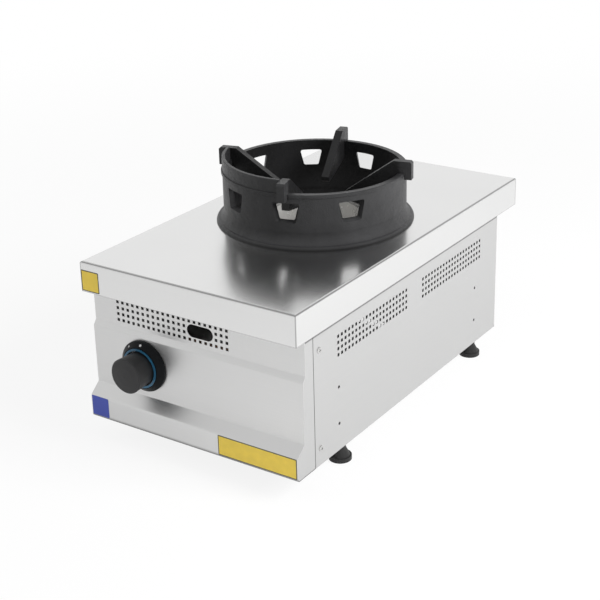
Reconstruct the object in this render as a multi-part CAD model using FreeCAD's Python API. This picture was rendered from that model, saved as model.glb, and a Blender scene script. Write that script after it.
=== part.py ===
# Countertop gas wok range: a folded stainless case with one burner under a cast-iron wok ring.
# Frame: X to the right, Y to the back, Z up, millimetres. The origin lies on the worktop, midway
# across the range and midway between the knob's face and the rear edge of the top.
import FreeCAD
import Part
import math
import os
from FreeCAD import Vector

# Top: one folded sheet with a deep lip all round
TOP_WIDTH = 400.0
TOP_DEPTH = 700.0
TOP_HEIGHT = 300.0
TOP_SHEET = 1.5
TOP_BEND = 4.0
LIP_HEIGHT = 50.0
LIP_REAR_RETURN = 20.0
TOP_HOLE_RADIUS = 78.0

# Case under the top
CASE_SHEET = 1.2
CASE_INSET = 2.0  # side panels behind the lip's outer face
CASE_BOTTOM = 35.0
REAR_OVERHANG = 68.0  # top past the back panel
FLANGE = 18.0
FOOT_FLANGE = 50.0  # side panels' bottom flange, which carries the feet
SEAM_GAP = 0.8

# Fascia profile: three upright faces joined by two sloping jogs
FACE_LOW_SETBACK = -2.0
FACE_MID_SETBACK = 17.0
FACE_TOP_SETBACK = 23.0
FACE_LOW_RISE = 38.0
JOG_LOW_RISE = 16.0
JOG_TOP_RISE = 8.0
FACE_TOP_DROP = 105.0  # from the top down to the upper jog
FASCIA_BEND = 3.0
CHEEK_DEPTH = 44.0  # from the lip's front face to the seam with the side panel
CHEEK_TAB = 30.0

# Vents: square punchings on a square pitch
VENT_SIZE = 5.0
VENT_PITCH = 10.0
VENT_ROWS = 4
FRONT_VENT_COLUMNS = 22
FRONT_VENT_INSET = 48.0  # first column, from the case's left side
FRONT_VENT_RISE = 9.5  # lowest row above the upper jog
SLOT_FIRST_COLUMN = 14
SLOT_COLUMNS = 5
SLOT_WIDTH = 49.0
SLOT_HEIGHT = 21.0
SIDE_VENT_COLUMNS = 21
SIDE_VENT_MARGIN = 67.0  # from the seam, and from the back panel
SIDE_VENT_DROP = 106.0  # from the top down to the lowest row
REAR_SLOT_WIDTH = 120.0
REAR_SLOT_HEIGHT = 6.0
REAR_SLOT_PITCH = 18.0
REAR_SLOT_ROWS = 3
REAR_SLOT_DROP = 70.0  # from the top down to the highest slot
PAN_SLOTS = 5
PAN_SLOT_WIDTH = 20.0

# Side fixings
SIDE_SCREW_SETBACK = 16.0  # behind the seam
SIDE_SCREW_RISE = 27.0  # above the case's bottom
SIDE_SCREW_DROP = 78.0  # below the top
BACK_SCREW_RISE = 25.0
BACK_SCREW_DROP = 30.0
SCREW_RADIUS = 2.0
SCREW_LENGTH = 9.0
SCREW_HEAD_RADIUS = 5.0
SCREW_HEAD_HEIGHT = 1.8
SCREW_CLEARANCE = 0.1
LINK_HOLE_RADIUS = 2.5
LINK_HOLE_HEIGHTS = (80.0, 141.0)
LINK_HOLE_FRONT = 67.0  # behind the seam
LINK_HOLE_REAR = 82.0  # before the back panel

# Levelling feet
FOOT_INSET = 19.0  # from the case's side
FOOT_FRONT = 141.0  # behind the lip's front face
FOOT_REAR = 59.0  # before the back panel
FOOT_RADIUS = 18.0
FOOT_DISC_HEIGHT = 7.0
FOOT_CONE_HEIGHT = 13.0
FOOT_NECK_RADIUS = 9.0
FOOT_TRAVEL = 15.0
STUD_RADIUS = 4.0
STUD_SINK = 12.0  # into the pad's neck
FOOT_NUT_ACROSS = 13.0
FOOT_NUT_HEIGHT = 6.5
RUNNING_CLEARANCE = 0.05

# Knob, bezel and gas tap
KNOB_INSET = 100.0  # from the case's left side
KNOB_HEIGHT = 141.0
KNOB_RADIUS = 28.5
KNOB_BASE_RADIUS = 26.5
KNOB_REACH = 48.0  # from the fascia's middle face
KNOB_BACK_GAP = 6.0
KNOB_CROWN = 2.0
KNOB_EDGE = 2.0
KNOB_TRAVEL = 4.0
BEZEL_RADIUS = 42.0
BEZEL_EDGE_HEIGHT = 4.0
BEZEL_HEIGHT = 12.0
BEZEL_FACE_RADIUS = 34.0
BEZEL_BORE_RADIUS = 29.2
TRIM_WIDTH = 3.2
TRIM_HEIGHT = 1.4
STEM_RADIUS = 4.0
STEM_FLAT = 1.2
STEM_IN_KNOB = 26.0
STEM_IN_TAP = 20.0
STEM_CLEARANCE = 0.06
STEM_HOLE_RADIUS = 7.0
TAP_WIDTH = 34.0
TAP_DEPTH = 40.0
TAP_COLLAR_RADIUS = 9.0
TAP_COLLAR_LENGTH = 8.0
TAP_PORT_RADIUS = 9.0
TAP_PORT_LENGTH = 5.0

# Gas train
INLET_INSET = 53.0  # from the case's left side
INLET_THREAD_RADIUS = 10.48
INLET_SHANK_RADIUS = 11.0
INLET_BORE_RADIUS = 8.0
INLET_REACH = 36.0  # out of the back panel
INLET_INNER = 24.0
LOCKNUT_ACROSS = 30.0
LOCKNUT_HEIGHT = 8.0
PIPE_RADIUS = 8.0
PIPE_BEND = 22.0
TUBE_RADIUS = 5.0
TUBE_BEND = 20.0
TUBE_NUT_ACROSS = 17.0
TUBE_NUT_LENGTH = 12.0
SUPPLY_RUN = 62.0  # straight back from the tap
INJECTOR_GAP = 12.0  # from the nozzle to the mixer's mouth
INJECTOR_ACROSS = 24.0
INJECTOR_LENGTH = 18.0
INJECTOR_NOZZLE = 8.0
NOZZLE_BASE_RADIUS = 8.0
NOZZLE_TIP_RADIUS = 3.0
INJECTOR_STRAP_WIDTH = 16.0
MIXER_RADIUS = 15.0
MIXER_WALL = 2.5
MIXER_MOUTH_RADIUS = 22.0
MIXER_MOUTH_LENGTH = 16.0
MIXER_LENGTH = 110.0

# Burner
BURNER_SETBACK = 353.0  # axis behind the lip's front face
BURNER_RADIUS = 46.0
BURNER_MOUTH_RADIUS = 52.0
BURNER_WALL = 5.0
BURNER_BOTTOM = 116.0
BURNER_DROP = 78.0  # from the top down to the pot's mouth
HEAD_RADIUS = 50.0
HEAD_CROWN_RADIUS = 34.0
HEAD_RISE = 18.0
HEAD_SPIGOT = 10.0
HEAD_CLEARANCE = 0.3
HEAD_PORTS = 16
HEAD_PORT_WIDTH = 3.0
STAND_WIDTH = 120.0
STAND_DEPTH = 60.0
STAND_FOOT = 18.0
STAND_SHEET = 1.5
CUP_RIM_RADIUS = 71.5
CUP_RIM_WIDTH = 4.0
CUP_RIM_RISE = 6.0
CUP_SKIRT_RADIUS = 83.0
CUP_FOOT_RADIUS = 89.0
CUP_MOUTH_RADIUS = 62.0
CUP_DEPTH = 50.0
CUP_SHEET = 1.2

# Pilot light, reached through the oval slot
PILOT_X = 10.8
PILOT_REACH = 62.0  # in front of the burner's axis
PILOT_RADIUS = 4.5
PILOT_DROP = 62.0  # from the top down to the pilot's tip
PILOT_FOOT = 4.0  # below its bracket
PILOT_BRACKET_DROP = 97.0
PILOT_BRACKET_EDGE = 4.0  # past the pilot and the probe
PILOT_TUBE_RADIUS = 3.0
PILOT_TUBE_DROP = 120.0
PILOT_TUBE_X = 62.0
PROBE_X = 27.0
PROBE_RADIUS = 2.5
PROBE_LEAD_RADIUS = 1.5
PROBE_LEAD_DROP = 110.0
PROBE_LEAD_X = 74.0
SMALL_BEND = 9.0

# Cast-iron wok ring
RING_INNER_RADIUS = 143.0
RING_WALL = 8.0
RING_BASE_RADIUS = 163.5
RING_BEAD_RADIUS = 6.0  # round edge of the foot
RING_FLARE_HEIGHT = 26.0
RING_HEIGHT = 88.0
RIM_RADIUS = 153.0
RIM_HEIGHT = 6.0
RIM_CHAMFER = 1.0
RAISED_HEIGHT = 110.0
RAISED_WALL = 5.5
WINDOW_COUNT = 7
WINDOW_PITCH = 40.0  # degrees
WINDOW_FIRST = 86.0  # degrees
WINDOW_TOP = 71.0
WINDOW_RISE = 27.0
WINDOW_TOP_WIDTH = 39.0
WINDOW_BOTTOM_WIDTH = 25.0
WINDOW_DRAFT = 4.0
WINDOW_CORNER = 3.0
FINGER_COUNT = 4
FINGER_FIRST = -75.0  # degrees
FINGER_THICKNESS = 13.0
FINGER_TOP = 108.0
FINGER_TIP_RADIUS = 54.0
FINGER_TIP_HEIGHT = 50.0
FINGER_FLAT_RADIUS = 135.0
FINGER_HOOK_RADIUS = 165.5
FINGER_HOOK_DEPTH = 10.0
FINGER_EDGE = 3.0
FINGER_CLEARANCE = 0.3

# Cutting shapes run past the faces that they cut by this much
OVERRUN = 1.0

# Places worked out from the sizes above
KNOB_OVERHANG = KNOB_REACH - FACE_MID_SETBACK
Y_FRONT = -(TOP_DEPTH - KNOB_OVERHANG) / 2
Y_REAR = Y_FRONT + TOP_DEPTH
Y_BACK = Y_REAR - REAR_OVERHANG
Y_SEAM = Y_FRONT + CHEEK_DEPTH
Y_LOW = Y_FRONT + FACE_LOW_SETBACK
Y_MID = Y_FRONT + FACE_MID_SETBACK
Y_TOP = Y_FRONT + FACE_TOP_SETBACK
X_SIDE = TOP_WIDTH / 2 - CASE_INSET
Z_CASE = TOP_HEIGHT - TOP_SHEET
Z_LOW = CASE_BOTTOM + FACE_LOW_RISE
Z_MID = Z_LOW + JOG_LOW_RISE
Z_TOP = TOP_HEIGHT - FACE_TOP_DROP
Z_MID_TOP = Z_TOP - JOG_TOP_RISE
Z_PAN = CASE_BOTTOM + CASE_SHEET
SIDE_SCREW_HEIGHTS = (CASE_BOTTOM + SIDE_SCREW_RISE, TOP_HEIGHT - SIDE_SCREW_DROP)
BACK_SCREW_LOW = CASE_BOTTOM + BACK_SCREW_RISE
BACK_SCREW_HIGH = TOP_HEIGHT - BACK_SCREW_DROP
BACK_SCREW_HEIGHTS = (BACK_SCREW_LOW, (BACK_SCREW_LOW + BACK_SCREW_HIGH) / 2, BACK_SCREW_HIGH)
FRONT_VENT_X = FRONT_VENT_INSET - X_SIDE
KNOB_X = KNOB_INSET - X_SIDE
INLET_X = INLET_INSET - X_SIDE
FOOT_X = X_SIDE - FOOT_INSET
BURNER_Y = Y_FRONT + BURNER_SETBACK
BURNER_TOP = TOP_HEIGHT - BURNER_DROP
PILOT_TOP = TOP_HEIGHT - PILOT_DROP
PILOT_BRACKET_HEIGHT = TOP_HEIGHT - PILOT_BRACKET_DROP
FOOT_FRONT_Y = Y_FRONT + FOOT_FRONT
FOOT_REAR_Y = Y_BACK - FOOT_REAR
RING_OUTER_RADIUS = RING_INNER_RADIUS + RING_WALL
Y_TAP = Y_MID + CASE_SHEET + TAP_COLLAR_LENGTH
Y_TAP_REAR = Y_TAP + TAP_DEPTH
Y_TAP_MID = Y_TAP + TAP_DEPTH / 2
Y_MIXER_END = BURNER_Y - BURNER_RADIUS + BURNER_WALL / 2
Y_MIXER = Y_MIXER_END - MIXER_LENGTH
Y_INJECTOR = Y_MIXER - INJECTOR_GAP - INJECTOR_NOZZLE
PILOT_Y = BURNER_Y - PILOT_REACH
FOOT_CORNERS = {
    "front_left": (-FOOT_X, FOOT_FRONT_Y),
    "front_right": (FOOT_X, FOOT_FRONT_Y),
    "rear_left": (-FOOT_X, FOOT_REAR_Y),
    "rear_right": (FOOT_X, FOOT_REAR_Y),
}


def box(x0, x1, y0, y1, z0, z1):
    """A block between two places on each axis."""
    return Part.makeBox(x1 - x0, y1 - y0, z1 - z0, Vector(x0, y0, z0))


def rod(radius, start, end):
    """A round bar from one point to another."""
    way = end.sub(start)
    return Part.makeCylinder(radius, way.Length, start, way)


def outline(points):
    """A flat face inside straight lines through the points."""
    return Part.Face(Part.makePolygon(points + points[:1]))


def hexagon(across, start, end):
    """A hexagonal bar from one point to another, given its width across flats."""
    way = end.sub(start)
    corners = []
    for step in range(6):
        turn = math.radians(60 * step)
        corners.append(Vector(math.cos(turn), math.sin(turn), 0).multiply(across / math.sqrt(3)))
    bar = outline(corners).extrude(Vector(0, 0, way.Length))
    bar.Placement = FreeCAD.Placement(start, FreeCAD.Rotation(Vector(0, 0, 1), way))
    return bar


def rounded_path(points, radii):
    """Straight runs through the points, joined at each corner by a tangent arc of its own radius."""
    edges = []
    start = points[0]
    for before, corner, after, radius in zip(points, points[1:], points[2:], radii):
        back = before.sub(corner).normalize()
        ahead = after.sub(corner).normalize()
        half = back.getAngle(ahead) / 2
        leg = radius / math.tan(half)
        middle = back.add(ahead).normalize()
        centre = corner.add(Vector(middle).multiply(radius / math.sin(half)))
        arc_start = corner.add(Vector(back).multiply(leg))
        arc_end = corner.add(Vector(ahead).multiply(leg))
        arc_middle = centre.sub(Vector(middle).multiply(radius))
        if start.sub(arc_start).Length > 1e-6:
            edges.append(Part.LineSegment(start, arc_start).toShape())
        edges.append(Part.Arc(arc_start, arc_middle, arc_end).toShape())
        start = arc_end
    edges.append(Part.LineSegment(start, points[-1]).toShape())
    return Part.Wire(edges)


def tube(points, radius, bend):
    """A round tube, solid inside: bars along the runs, and turned elbows at the bends."""
    pieces = []
    for edge in rounded_path(points, [bend] * (len(points) - 2)).Edges:
        start = edge.valueAt(edge.FirstParameter)
        end = edge.valueAt(edge.LastParameter)
        if edge.Curve.TypeId == "Part::GeomLine":
            pieces.append(rod(radius, start, end))
            continue
        way = edge.tangentAt(edge.FirstParameter)
        section = Part.Face(Part.Wire(Part.makeCircle(radius, start, way)))
        turn = math.degrees(edge.Length / bend)
        pieces.append(section.revolve(edge.Curve.Center, edge.Curve.Axis, turn))
    return pieces[0].fuse(pieces[1:]).removeSplitter()


def inner_corners(points, sheet, normal):
    """The corners of a path moved in by a sheet's thickness, to the side that normal x run points to."""
    inner = []
    ways = [b.sub(a).normalize() for a, b in zip(points, points[1:])]
    for place, point in enumerate(points):
        before = ways[max(place - 1, 0)]
        after = ways[min(place, len(ways) - 1)]
        inward = normal.cross(before).add(normal.cross(after)).normalize()
        share = inward.dot(normal.cross(after))
        inner.append(point.add(inward.multiply(sheet / share)))
    return inner


def folded_sheet(points, sheet, normal):
    """The section of a sheet with sharp folds, outer corners first."""
    return outline(points + inner_corners(points, sheet, normal)[::-1])


def bend_radii(points, normal, outward, inward):
    """A radius for each corner of a path: one where the sheet stands out, the other where it goes in."""
    radii = []
    for before, corner, after in zip(points, points[1:], points[2:]):
        sheet_side = normal.cross(corner.sub(before))
        radii.append(outward if after.sub(corner).dot(sheet_side) > 0 else inward)
    return radii


def bent_sheet(points, sheet, normal, bend):
    """The section of a folded sheet with rounded bends, given its outer corners."""
    inside = inner_corners(points, sheet, normal)
    outer = rounded_path(points, bend_radii(points, normal, bend + sheet, bend)).Edges
    inner = rounded_path(inside, bend_radii(points, normal, bend, bend + sheet)).Edges
    end = Part.LineSegment(points[-1], inside[-1]).toShape()
    start = Part.LineSegment(inside[0], points[0]).toShape()
    return Part.Face(Part.Wire(outer + [end] + inner[::-1] + [start]))


def turned(profile, centre_x=0.0, centre_y=0.0):
    """Turns a closed (radius, height) profile about an upright axis."""
    face = outline([Vector(centre_x + r, centre_y, z) for r, z in profile])
    return face.revolve(Vector(centre_x, centre_y, 0), Vector(0, 0, 1), 360)


def turned_on_knob(profile):
    """Turns a closed (radius, reach) profile about the knob's axis; reach is out of the middle face."""
    face = outline([Vector(KNOB_X + r, Y_MID - reach, KNOB_HEIGHT) for r, reach in profile])
    return face.revolve(Vector(KNOB_X, 0, KNOB_HEIGHT), Vector(0, 1, 0), 360)


def mirrored(shape):
    """The same shape for the range's other side."""
    return shape.mirror(Vector(0, 0, 0), Vector(1, 0, 0))


def top_plate():
    """Folded top: flat face, lip on four sides, returns at the front and rear, round burner hole."""
    half = TOP_WIDTH / 2
    low = TOP_HEIGHT - LIP_HEIGHT
    outer = box(-half, half, Y_FRONT, Y_REAR, low, TOP_HEIGHT)
    outer = outer.makeFillet(TOP_BEND, edges_at(outer, TOP_HEIGHT))
    inside = half - TOP_SHEET
    y0 = Y_FRONT + TOP_SHEET
    y1 = Y_REAR - TOP_SHEET
    inner = box(-inside, inside, y0, y1, low, Z_CASE)
    inner = inner.makeFillet(TOP_BEND - TOP_SHEET, edges_at(inner, Z_CASE))
    plate = outer.cut(inner)
    front_return = box(-inside, inside, y0, Y_TOP - SEAM_GAP, low, low + TOP_SHEET)
    rear_return = box(-inside, inside, Y_REAR - LIP_REAR_RETURN, y1, low, low + TOP_SHEET)
    hole = Part.makeCylinder(TOP_HOLE_RADIUS, LIP_HEIGHT, Vector(0, BURNER_Y, low))
    return plate.fuse([front_return, rear_return]).cut(hole).removeSplitter()


def edges_at(solid, height):
    """The edges that lie wholly at one height."""
    return [edge for edge in solid.Edges if all(abs(v.Z - height) < 1e-6 for v in edge.Vertexes)]


def fascia_path():
    """Outer corners of the fascia, from its top flange down to its bottom flange."""
    corners = [
        (Y_TOP + FLANGE, Z_CASE),
        (Y_TOP, Z_CASE),
        (Y_TOP, Z_TOP),
        (Y_MID, Z_MID_TOP),
        (Y_MID, Z_MID),
        (Y_LOW, Z_LOW),
        (Y_LOW, CASE_BOTTOM),
        (Y_SEAM, CASE_BOTTOM),
    ]
    return [Vector(-X_SIDE, y, z) for y, z in corners]


def fascia_blank():
    """Fascia before its holes are punched."""
    section = bent_sheet(fascia_path(), CASE_SHEET, Vector(1, 0, 0), FASCIA_BEND)
    return section.extrude(Vector(2 * X_SIDE, 0, 0)).cut(corner_notches(Y_FRONT, Y_SEAM))


def corner_notches(y0, y1):
    """Relief at the case's two top edges, clear of the bend inside the lip."""
    low = Z_CASE - TOP_BEND
    return [box(x, x + TOP_BEND, y0, y1, low, TOP_HEIGHT) for x in (X_SIDE - TOP_BEND, -X_SIDE)]


def front_panel():
    """Fascia: folded profile with a vent field, an oval inspection slot and the knob's hole."""
    panel = fascia_blank()
    first_row = Z_TOP + FRONT_VENT_RISE
    deep = (Y_TOP - CASE_SHEET, Y_TOP + 2 * CASE_SHEET)
    cuts = []
    for column in range(FRONT_VENT_COLUMNS):
        for row in range(VENT_ROWS):
            in_slot = 0 <= column - SLOT_FIRST_COLUMN < SLOT_COLUMNS and row in (1, 2)
            if not in_slot:
                x = FRONT_VENT_X + column * VENT_PITCH
                z = first_row + row * VENT_PITCH
                cuts.append(vent_cut_y(x, z, deep))
    slot_x = FRONT_VENT_X + (SLOT_FIRST_COLUMN + (SLOT_COLUMNS - 1) / 2) * VENT_PITCH
    slot_z = first_row + (VENT_ROWS - 1) / 2 * VENT_PITCH
    cuts.append(oval_cut(slot_x, slot_z, deep))
    stem_start = Vector(KNOB_X, Y_MID - CASE_SHEET, KNOB_HEIGHT)
    stem_end = Vector(KNOB_X, Y_MID + 2 * CASE_SHEET, KNOB_HEIGHT)
    cuts.append(rod(STEM_HOLE_RADIUS, stem_start, stem_end))
    return panel.cut(cuts)


def vent_cut_y(x, z, deep):
    """The core of one square vent through the fascia."""
    half = VENT_SIZE / 2
    return box(x - half, x + half, deep[0], deep[1], z - half, z + half)


def oval_cut(x, z, deep):
    """The core of the round-ended inspection slot through the fascia."""
    radius = SLOT_HEIGHT / 2
    reach = SLOT_WIDTH / 2 - radius
    middle = box(x - reach, x + reach, deep[0], deep[1], z - radius, z + radius)
    ends = [rod(radius, Vector(x + side * reach, deep[0], z), Vector(x + side * reach, deep[1], z))
            for side in (-1, 1)]
    return middle.fuse(ends).removeSplitter()


def front_cheek_right():
    """End closure between the fascia and the side panel, with a tab joggled behind the panel."""
    x_tab = X_SIDE - CASE_SHEET
    corners = [Vector(0, Y_SEAM, Z_CASE)] + fascia_path()[1:]
    path = [Vector(x_tab, corner.y, corner.z) for corner in corners]
    radii = bend_radii(path, Vector(1, 0, 0), FASCIA_BEND + CASE_SHEET, FASCIA_BEND)
    seam = Part.LineSegment(path[-1], path[0]).toShape()
    face = Part.Face(Part.Wire(rounded_path(path, radii).Edges + [seam]))
    plate = face.extrude(Vector(CASE_SHEET, 0, 0)).cut([fascia_blank()] + corner_notches(Y_FRONT, Y_SEAM))
    tab = box(x_tab - CASE_SHEET, x_tab, Y_SEAM - CHEEK_TAB / 3, Y_SEAM + CHEEK_TAB,
              CASE_BOTTOM + 2 * CASE_SHEET, Z_CASE - 2 * CASE_SHEET)
    screw_y = Y_SEAM + SIDE_SCREW_SETBACK
    holes = [side_hole(screw_y, z, SCREW_RADIUS + SCREW_CLEARANCE) for z in SIDE_SCREW_HEIGHTS]
    return plate.fuse(tab).cut(holes).removeSplitter()


def side_hole(y, z, radius):
    """A hole's core, through the right side at one place."""
    return rod(radius, Vector(X_SIDE - FLANGE, y, z), Vector(X_SIDE + FLANGE, y, z))


def side_panel_right():
    """Side panel: perforated web with top, bottom and rear flanges."""
    inner = X_SIDE - CASE_SHEET
    y0 = Y_SEAM + SEAM_GAP
    y1 = Y_BACK - CASE_SHEET
    web = box(inner, X_SIDE, y0, y1, CASE_BOTTOM, Z_CASE)
    top_flange = box(X_SIDE - FLANGE, inner, y0, y1, Z_CASE - CASE_SHEET, Z_CASE)
    foot_flange = box(X_SIDE - FOOT_FLANGE, inner, y0, y1, CASE_BOTTOM, Z_PAN)
    rear_flange = box(X_SIDE - FLANGE, inner, y1 - CASE_SHEET, y1, Z_PAN, Z_CASE - CASE_SHEET)
    panel = web.fuse([top_flange, foot_flange, rear_flange]).removeSplitter()
    fold = [edge for edge in edges_at(panel, Z_CASE) if edge.CenterOfMass.x > X_SIDE - 1e-6]
    panel = panel.makeFillet(TOP_BEND - TOP_SHEET, fold)
    cuts = side_vent_cuts()
    for z in SIDE_SCREW_HEIGHTS:
        cuts.append(side_hole(Y_SEAM + SIDE_SCREW_SETBACK, z, SCREW_RADIUS + SCREW_CLEARANCE))
    for z in LINK_HOLE_HEIGHTS:
        cuts.append(side_hole(Y_SEAM + LINK_HOLE_FRONT, z, LINK_HOLE_RADIUS))
        cuts.append(side_hole(Y_BACK - LINK_HOLE_REAR, z, LINK_HOLE_RADIUS))
    stud_hole = STUD_RADIUS + 2 * SCREW_CLEARANCE
    for y in (FOOT_FRONT_Y, FOOT_REAR_Y):
        cuts.append(rod(stud_hole, Vector(FOOT_X, y, 0), Vector(FOOT_X, y, 2 * CASE_BOTTOM)))
    x = X_SIDE - FLANGE / 2
    for z in BACK_SCREW_HEIGHTS:
        cuts.append(rod(SCREW_RADIUS + SCREW_CLEARANCE, Vector(x, y1 - FLANGE, z), Vector(x, Y_BACK, z)))
    return panel.cut(cuts)


def side_vent_cuts():
    """Two vent fields, set in equally from the seam and from the back panel."""
    low = TOP_HEIGHT - SIDE_VENT_DROP
    x0 = X_SIDE - 2 * CASE_SHEET
    x1 = X_SIDE + CASE_SHEET
    field = (SIDE_VENT_COLUMNS - 1) * VENT_PITCH
    half = VENT_SIZE / 2
    cuts = []
    for start in (Y_SEAM + SIDE_VENT_MARGIN, Y_BACK - SIDE_VENT_MARGIN - field):
        for column in range(SIDE_VENT_COLUMNS):
            for row in range(VENT_ROWS):
                y = start + column * VENT_PITCH
                z = low + row * VENT_PITCH
                cuts.append(box(x0, x1, y - half, y + half, z - half, z + half))
    return cuts


def back_panel():
    """Back panel over the side panels' rear flanges, with air slots and the gas inlet's hole."""
    y0 = Y_BACK - CASE_SHEET
    sheet = box(-X_SIDE, X_SIDE, y0, Y_BACK, CASE_BOTTOM, Z_CASE)
    reach = X_SIDE - FLANGE - SEAM_GAP
    flange = box(-reach, reach, y0 - FLANGE, y0, Z_CASE - CASE_SHEET, Z_CASE)
    near = y0 - OVERRUN
    far = Y_BACK + OVERRUN
    half = REAR_SLOT_WIDTH / 2
    cuts = []
    for side in (-1, 1):
        middle = side * REAR_SLOT_WIDTH * 2 / 3
        for row in range(REAR_SLOT_ROWS):
            z = TOP_HEIGHT - REAR_SLOT_DROP - row * REAR_SLOT_PITCH
            cuts.append(box(middle - half, middle + half, near, far, z - REAR_SLOT_HEIGHT, z))
    inlet_hole = INLET_SHANK_RADIUS + SCREW_CLEARANCE
    cuts.append(rod(inlet_hole, Vector(INLET_X, near, KNOB_HEIGHT), Vector(INLET_X, far, KNOB_HEIGHT)))
    for x, z in back_screw_places():
        cuts.append(rod(SCREW_RADIUS + SCREW_CLEARANCE, Vector(x, near, z), Vector(x, far, z)))
    return sheet.fuse(flange).removeSplitter().cut(cuts + corner_notches(y0, Y_BACK))


def back_screw_places():
    """The (x, z) places of the back panel's screws."""
    x = X_SIDE - FLANGE / 2
    return [(side * x, z) for side in (-1, 1) for z in BACK_SCREW_HEIGHTS]


def screw(place, way):
    """Flat-topped screw, seated with its head's underside at the place; way is out of the head."""
    head = rod(SCREW_HEAD_RADIUS, place, place.add(Vector(way).multiply(SCREW_HEAD_HEIGHT)))
    shank = rod(SCREW_RADIUS, place, place.sub(Vector(way).multiply(SCREW_LENGTH)))
    return head.fuse(shank).removeSplitter()


def side_screws():
    """Two screws on each side, through the panel and the end closure's tab."""
    y = Y_SEAM + SIDE_SCREW_SETBACK
    return Part.makeCompound([screw(Vector(side * X_SIDE, y, z), Vector(side, 0, 0))
                              for side in (-1, 1) for z in SIDE_SCREW_HEIGHTS])


def back_screws():
    """The screws of the back panel, three on each side."""
    out = Vector(0, 1, 0)
    return Part.makeCompound([screw(Vector(x, Y_BACK, z), out) for x, z in back_screw_places()])


def base_pan():
    """Floor of the case: lies on the side panels' foot flanges and the fascia's bottom flange."""
    half = FOOT_X - FOOT_NUT_ACROSS
    y0 = Y_SEAM - FLANGE / 2
    y1 = Y_BACK - 2 * CASE_SHEET - SEAM_GAP
    floor = box(-half, half, y0, y1, Z_PAN, Z_PAN + CASE_SHEET)
    walls = [box(-half, half, y, y + CASE_SHEET, Z_PAN, Z_PAN + FLANGE) for y in (y0, y1 - CASE_SHEET)]
    slot = STAND_WIDTH / 2 - STAND_FOOT
    high = Z_PAN + 2 * CASE_SHEET
    cuts = []
    for step in range(PAN_SLOTS):
        near = y0 + (y1 - y0) * (step + 1) / (PAN_SLOTS + 1) - PAN_SLOT_WIDTH / 2
        cuts.append(box(-slot, slot, near, near + PAN_SLOT_WIDTH, Z_PAN - OVERRUN, high))
    return floor.fuse(walls).removeSplitter().cut(cuts)


def foot_pad(x, y):
    """Plastic foot: flat disc, conical waist and a neck up to the case."""
    disc = FOOT_DISC_HEIGHT
    waist = disc + FOOT_CONE_HEIGHT
    wide = FOOT_NECK_RADIUS + FOOT_CONE_HEIGHT / 2
    profile = [(0, 0), (FOOT_RADIUS, 0), (FOOT_RADIUS, disc), (wide, disc), (FOOT_NECK_RADIUS, waist),
               (FOOT_NECK_RADIUS, CASE_BOTTOM), (STUD_RADIUS, CASE_BOTTOM),
               (STUD_RADIUS, CASE_BOTTOM - STUD_SINK), (0, CASE_BOTTOM - STUD_SINK)]
    return turned(profile, x, y)


def foot_stud(x, y):
    """Stud from a foot's neck up through the case, long enough for the foot's travel."""
    top = Z_PAN + FOOT_NUT_HEIGHT + FOOT_TRAVEL + STUD_RADIUS
    return rod(STUD_RADIUS, Vector(x, y, CASE_BOTTOM - STUD_SINK), Vector(x, y, top))


def foot_nuts():
    """Four nuts welded on the foot flanges."""
    nuts = []
    for x, y in FOOT_CORNERS.values():
        low = Vector(x, y, Z_PAN)
        high = Vector(x, y, Z_PAN + FOOT_NUT_HEIGHT)
        bore = rod(STUD_RADIUS + RUNNING_CLEARANCE, low, high)
        nuts.append(hexagon(FOOT_NUT_ACROSS, low, high).cut(bore))
    return Part.makeCompound(nuts)


def knob_bezel():
    """Bezel: a ring on the fascia with a sloping rim and a flat face."""
    profile = [(BEZEL_BORE_RADIUS, 0), (BEZEL_RADIUS, 0), (BEZEL_RADIUS, BEZEL_EDGE_HEIGHT),
               (BEZEL_FACE_RADIUS, BEZEL_HEIGHT), (BEZEL_BORE_RADIUS, BEZEL_HEIGHT)]
    return turned_on_knob(profile)


def knob_trim():
    """Coloured ring on the bezel's face, round the knob."""
    low = BEZEL_HEIGHT
    high = BEZEL_HEIGHT + TRIM_HEIGHT
    inner = BEZEL_BORE_RADIUS
    outer = inner + TRIM_WIDTH
    return turned_on_knob([(inner, low), (outer, low), (outer, high), (inner, high)])


def stem_bar(radius, near, far, clearance):
    """Round bar with one flat, between two reaches out of the middle face."""
    start = Vector(KNOB_X, Y_MID - near, KNOB_HEIGHT)
    bar = rod(radius, start, Vector(KNOB_X, Y_MID - far, KNOB_HEIGHT))
    flat_z = KNOB_HEIGHT + STEM_RADIUS - STEM_FLAT + clearance
    flat = box(KNOB_X - 2 * radius, KNOB_X + 2 * radius, Y_MID - far, Y_MID, flat_z, flat_z + 2 * radius)
    return bar.cut(flat)


def knob():
    """Plain round knob, a little narrower at its base, with a crowned face and a D-shaped bore."""
    edge = KNOB_REACH - KNOB_CROWN
    profile = [
        (0, KNOB_BACK_GAP),
        (KNOB_BASE_RADIUS, KNOB_BACK_GAP),
        (KNOB_RADIUS, edge - KNOB_EDGE),
        (KNOB_RADIUS - KNOB_EDGE, edge),
        (KNOB_RADIUS / 2, KNOB_REACH - KNOB_CROWN / 3),
        (0, KNOB_REACH),
    ]
    bore_end = KNOB_BACK_GAP + STEM_IN_KNOB + KNOB_TRAVEL
    bore = stem_bar(STEM_RADIUS + STEM_CLEARANCE, 0, bore_end, STEM_CLEARANCE)
    return turned_on_knob(profile).cut(bore)


def valve_stem():
    """Stem with one flat, from inside the tap to inside the knob."""
    near = -(CASE_SHEET + TAP_COLLAR_LENGTH + STEM_IN_TAP)
    return stem_bar(STEM_RADIUS, near, KNOB_BACK_GAP + STEM_IN_KNOB, 0)


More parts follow.
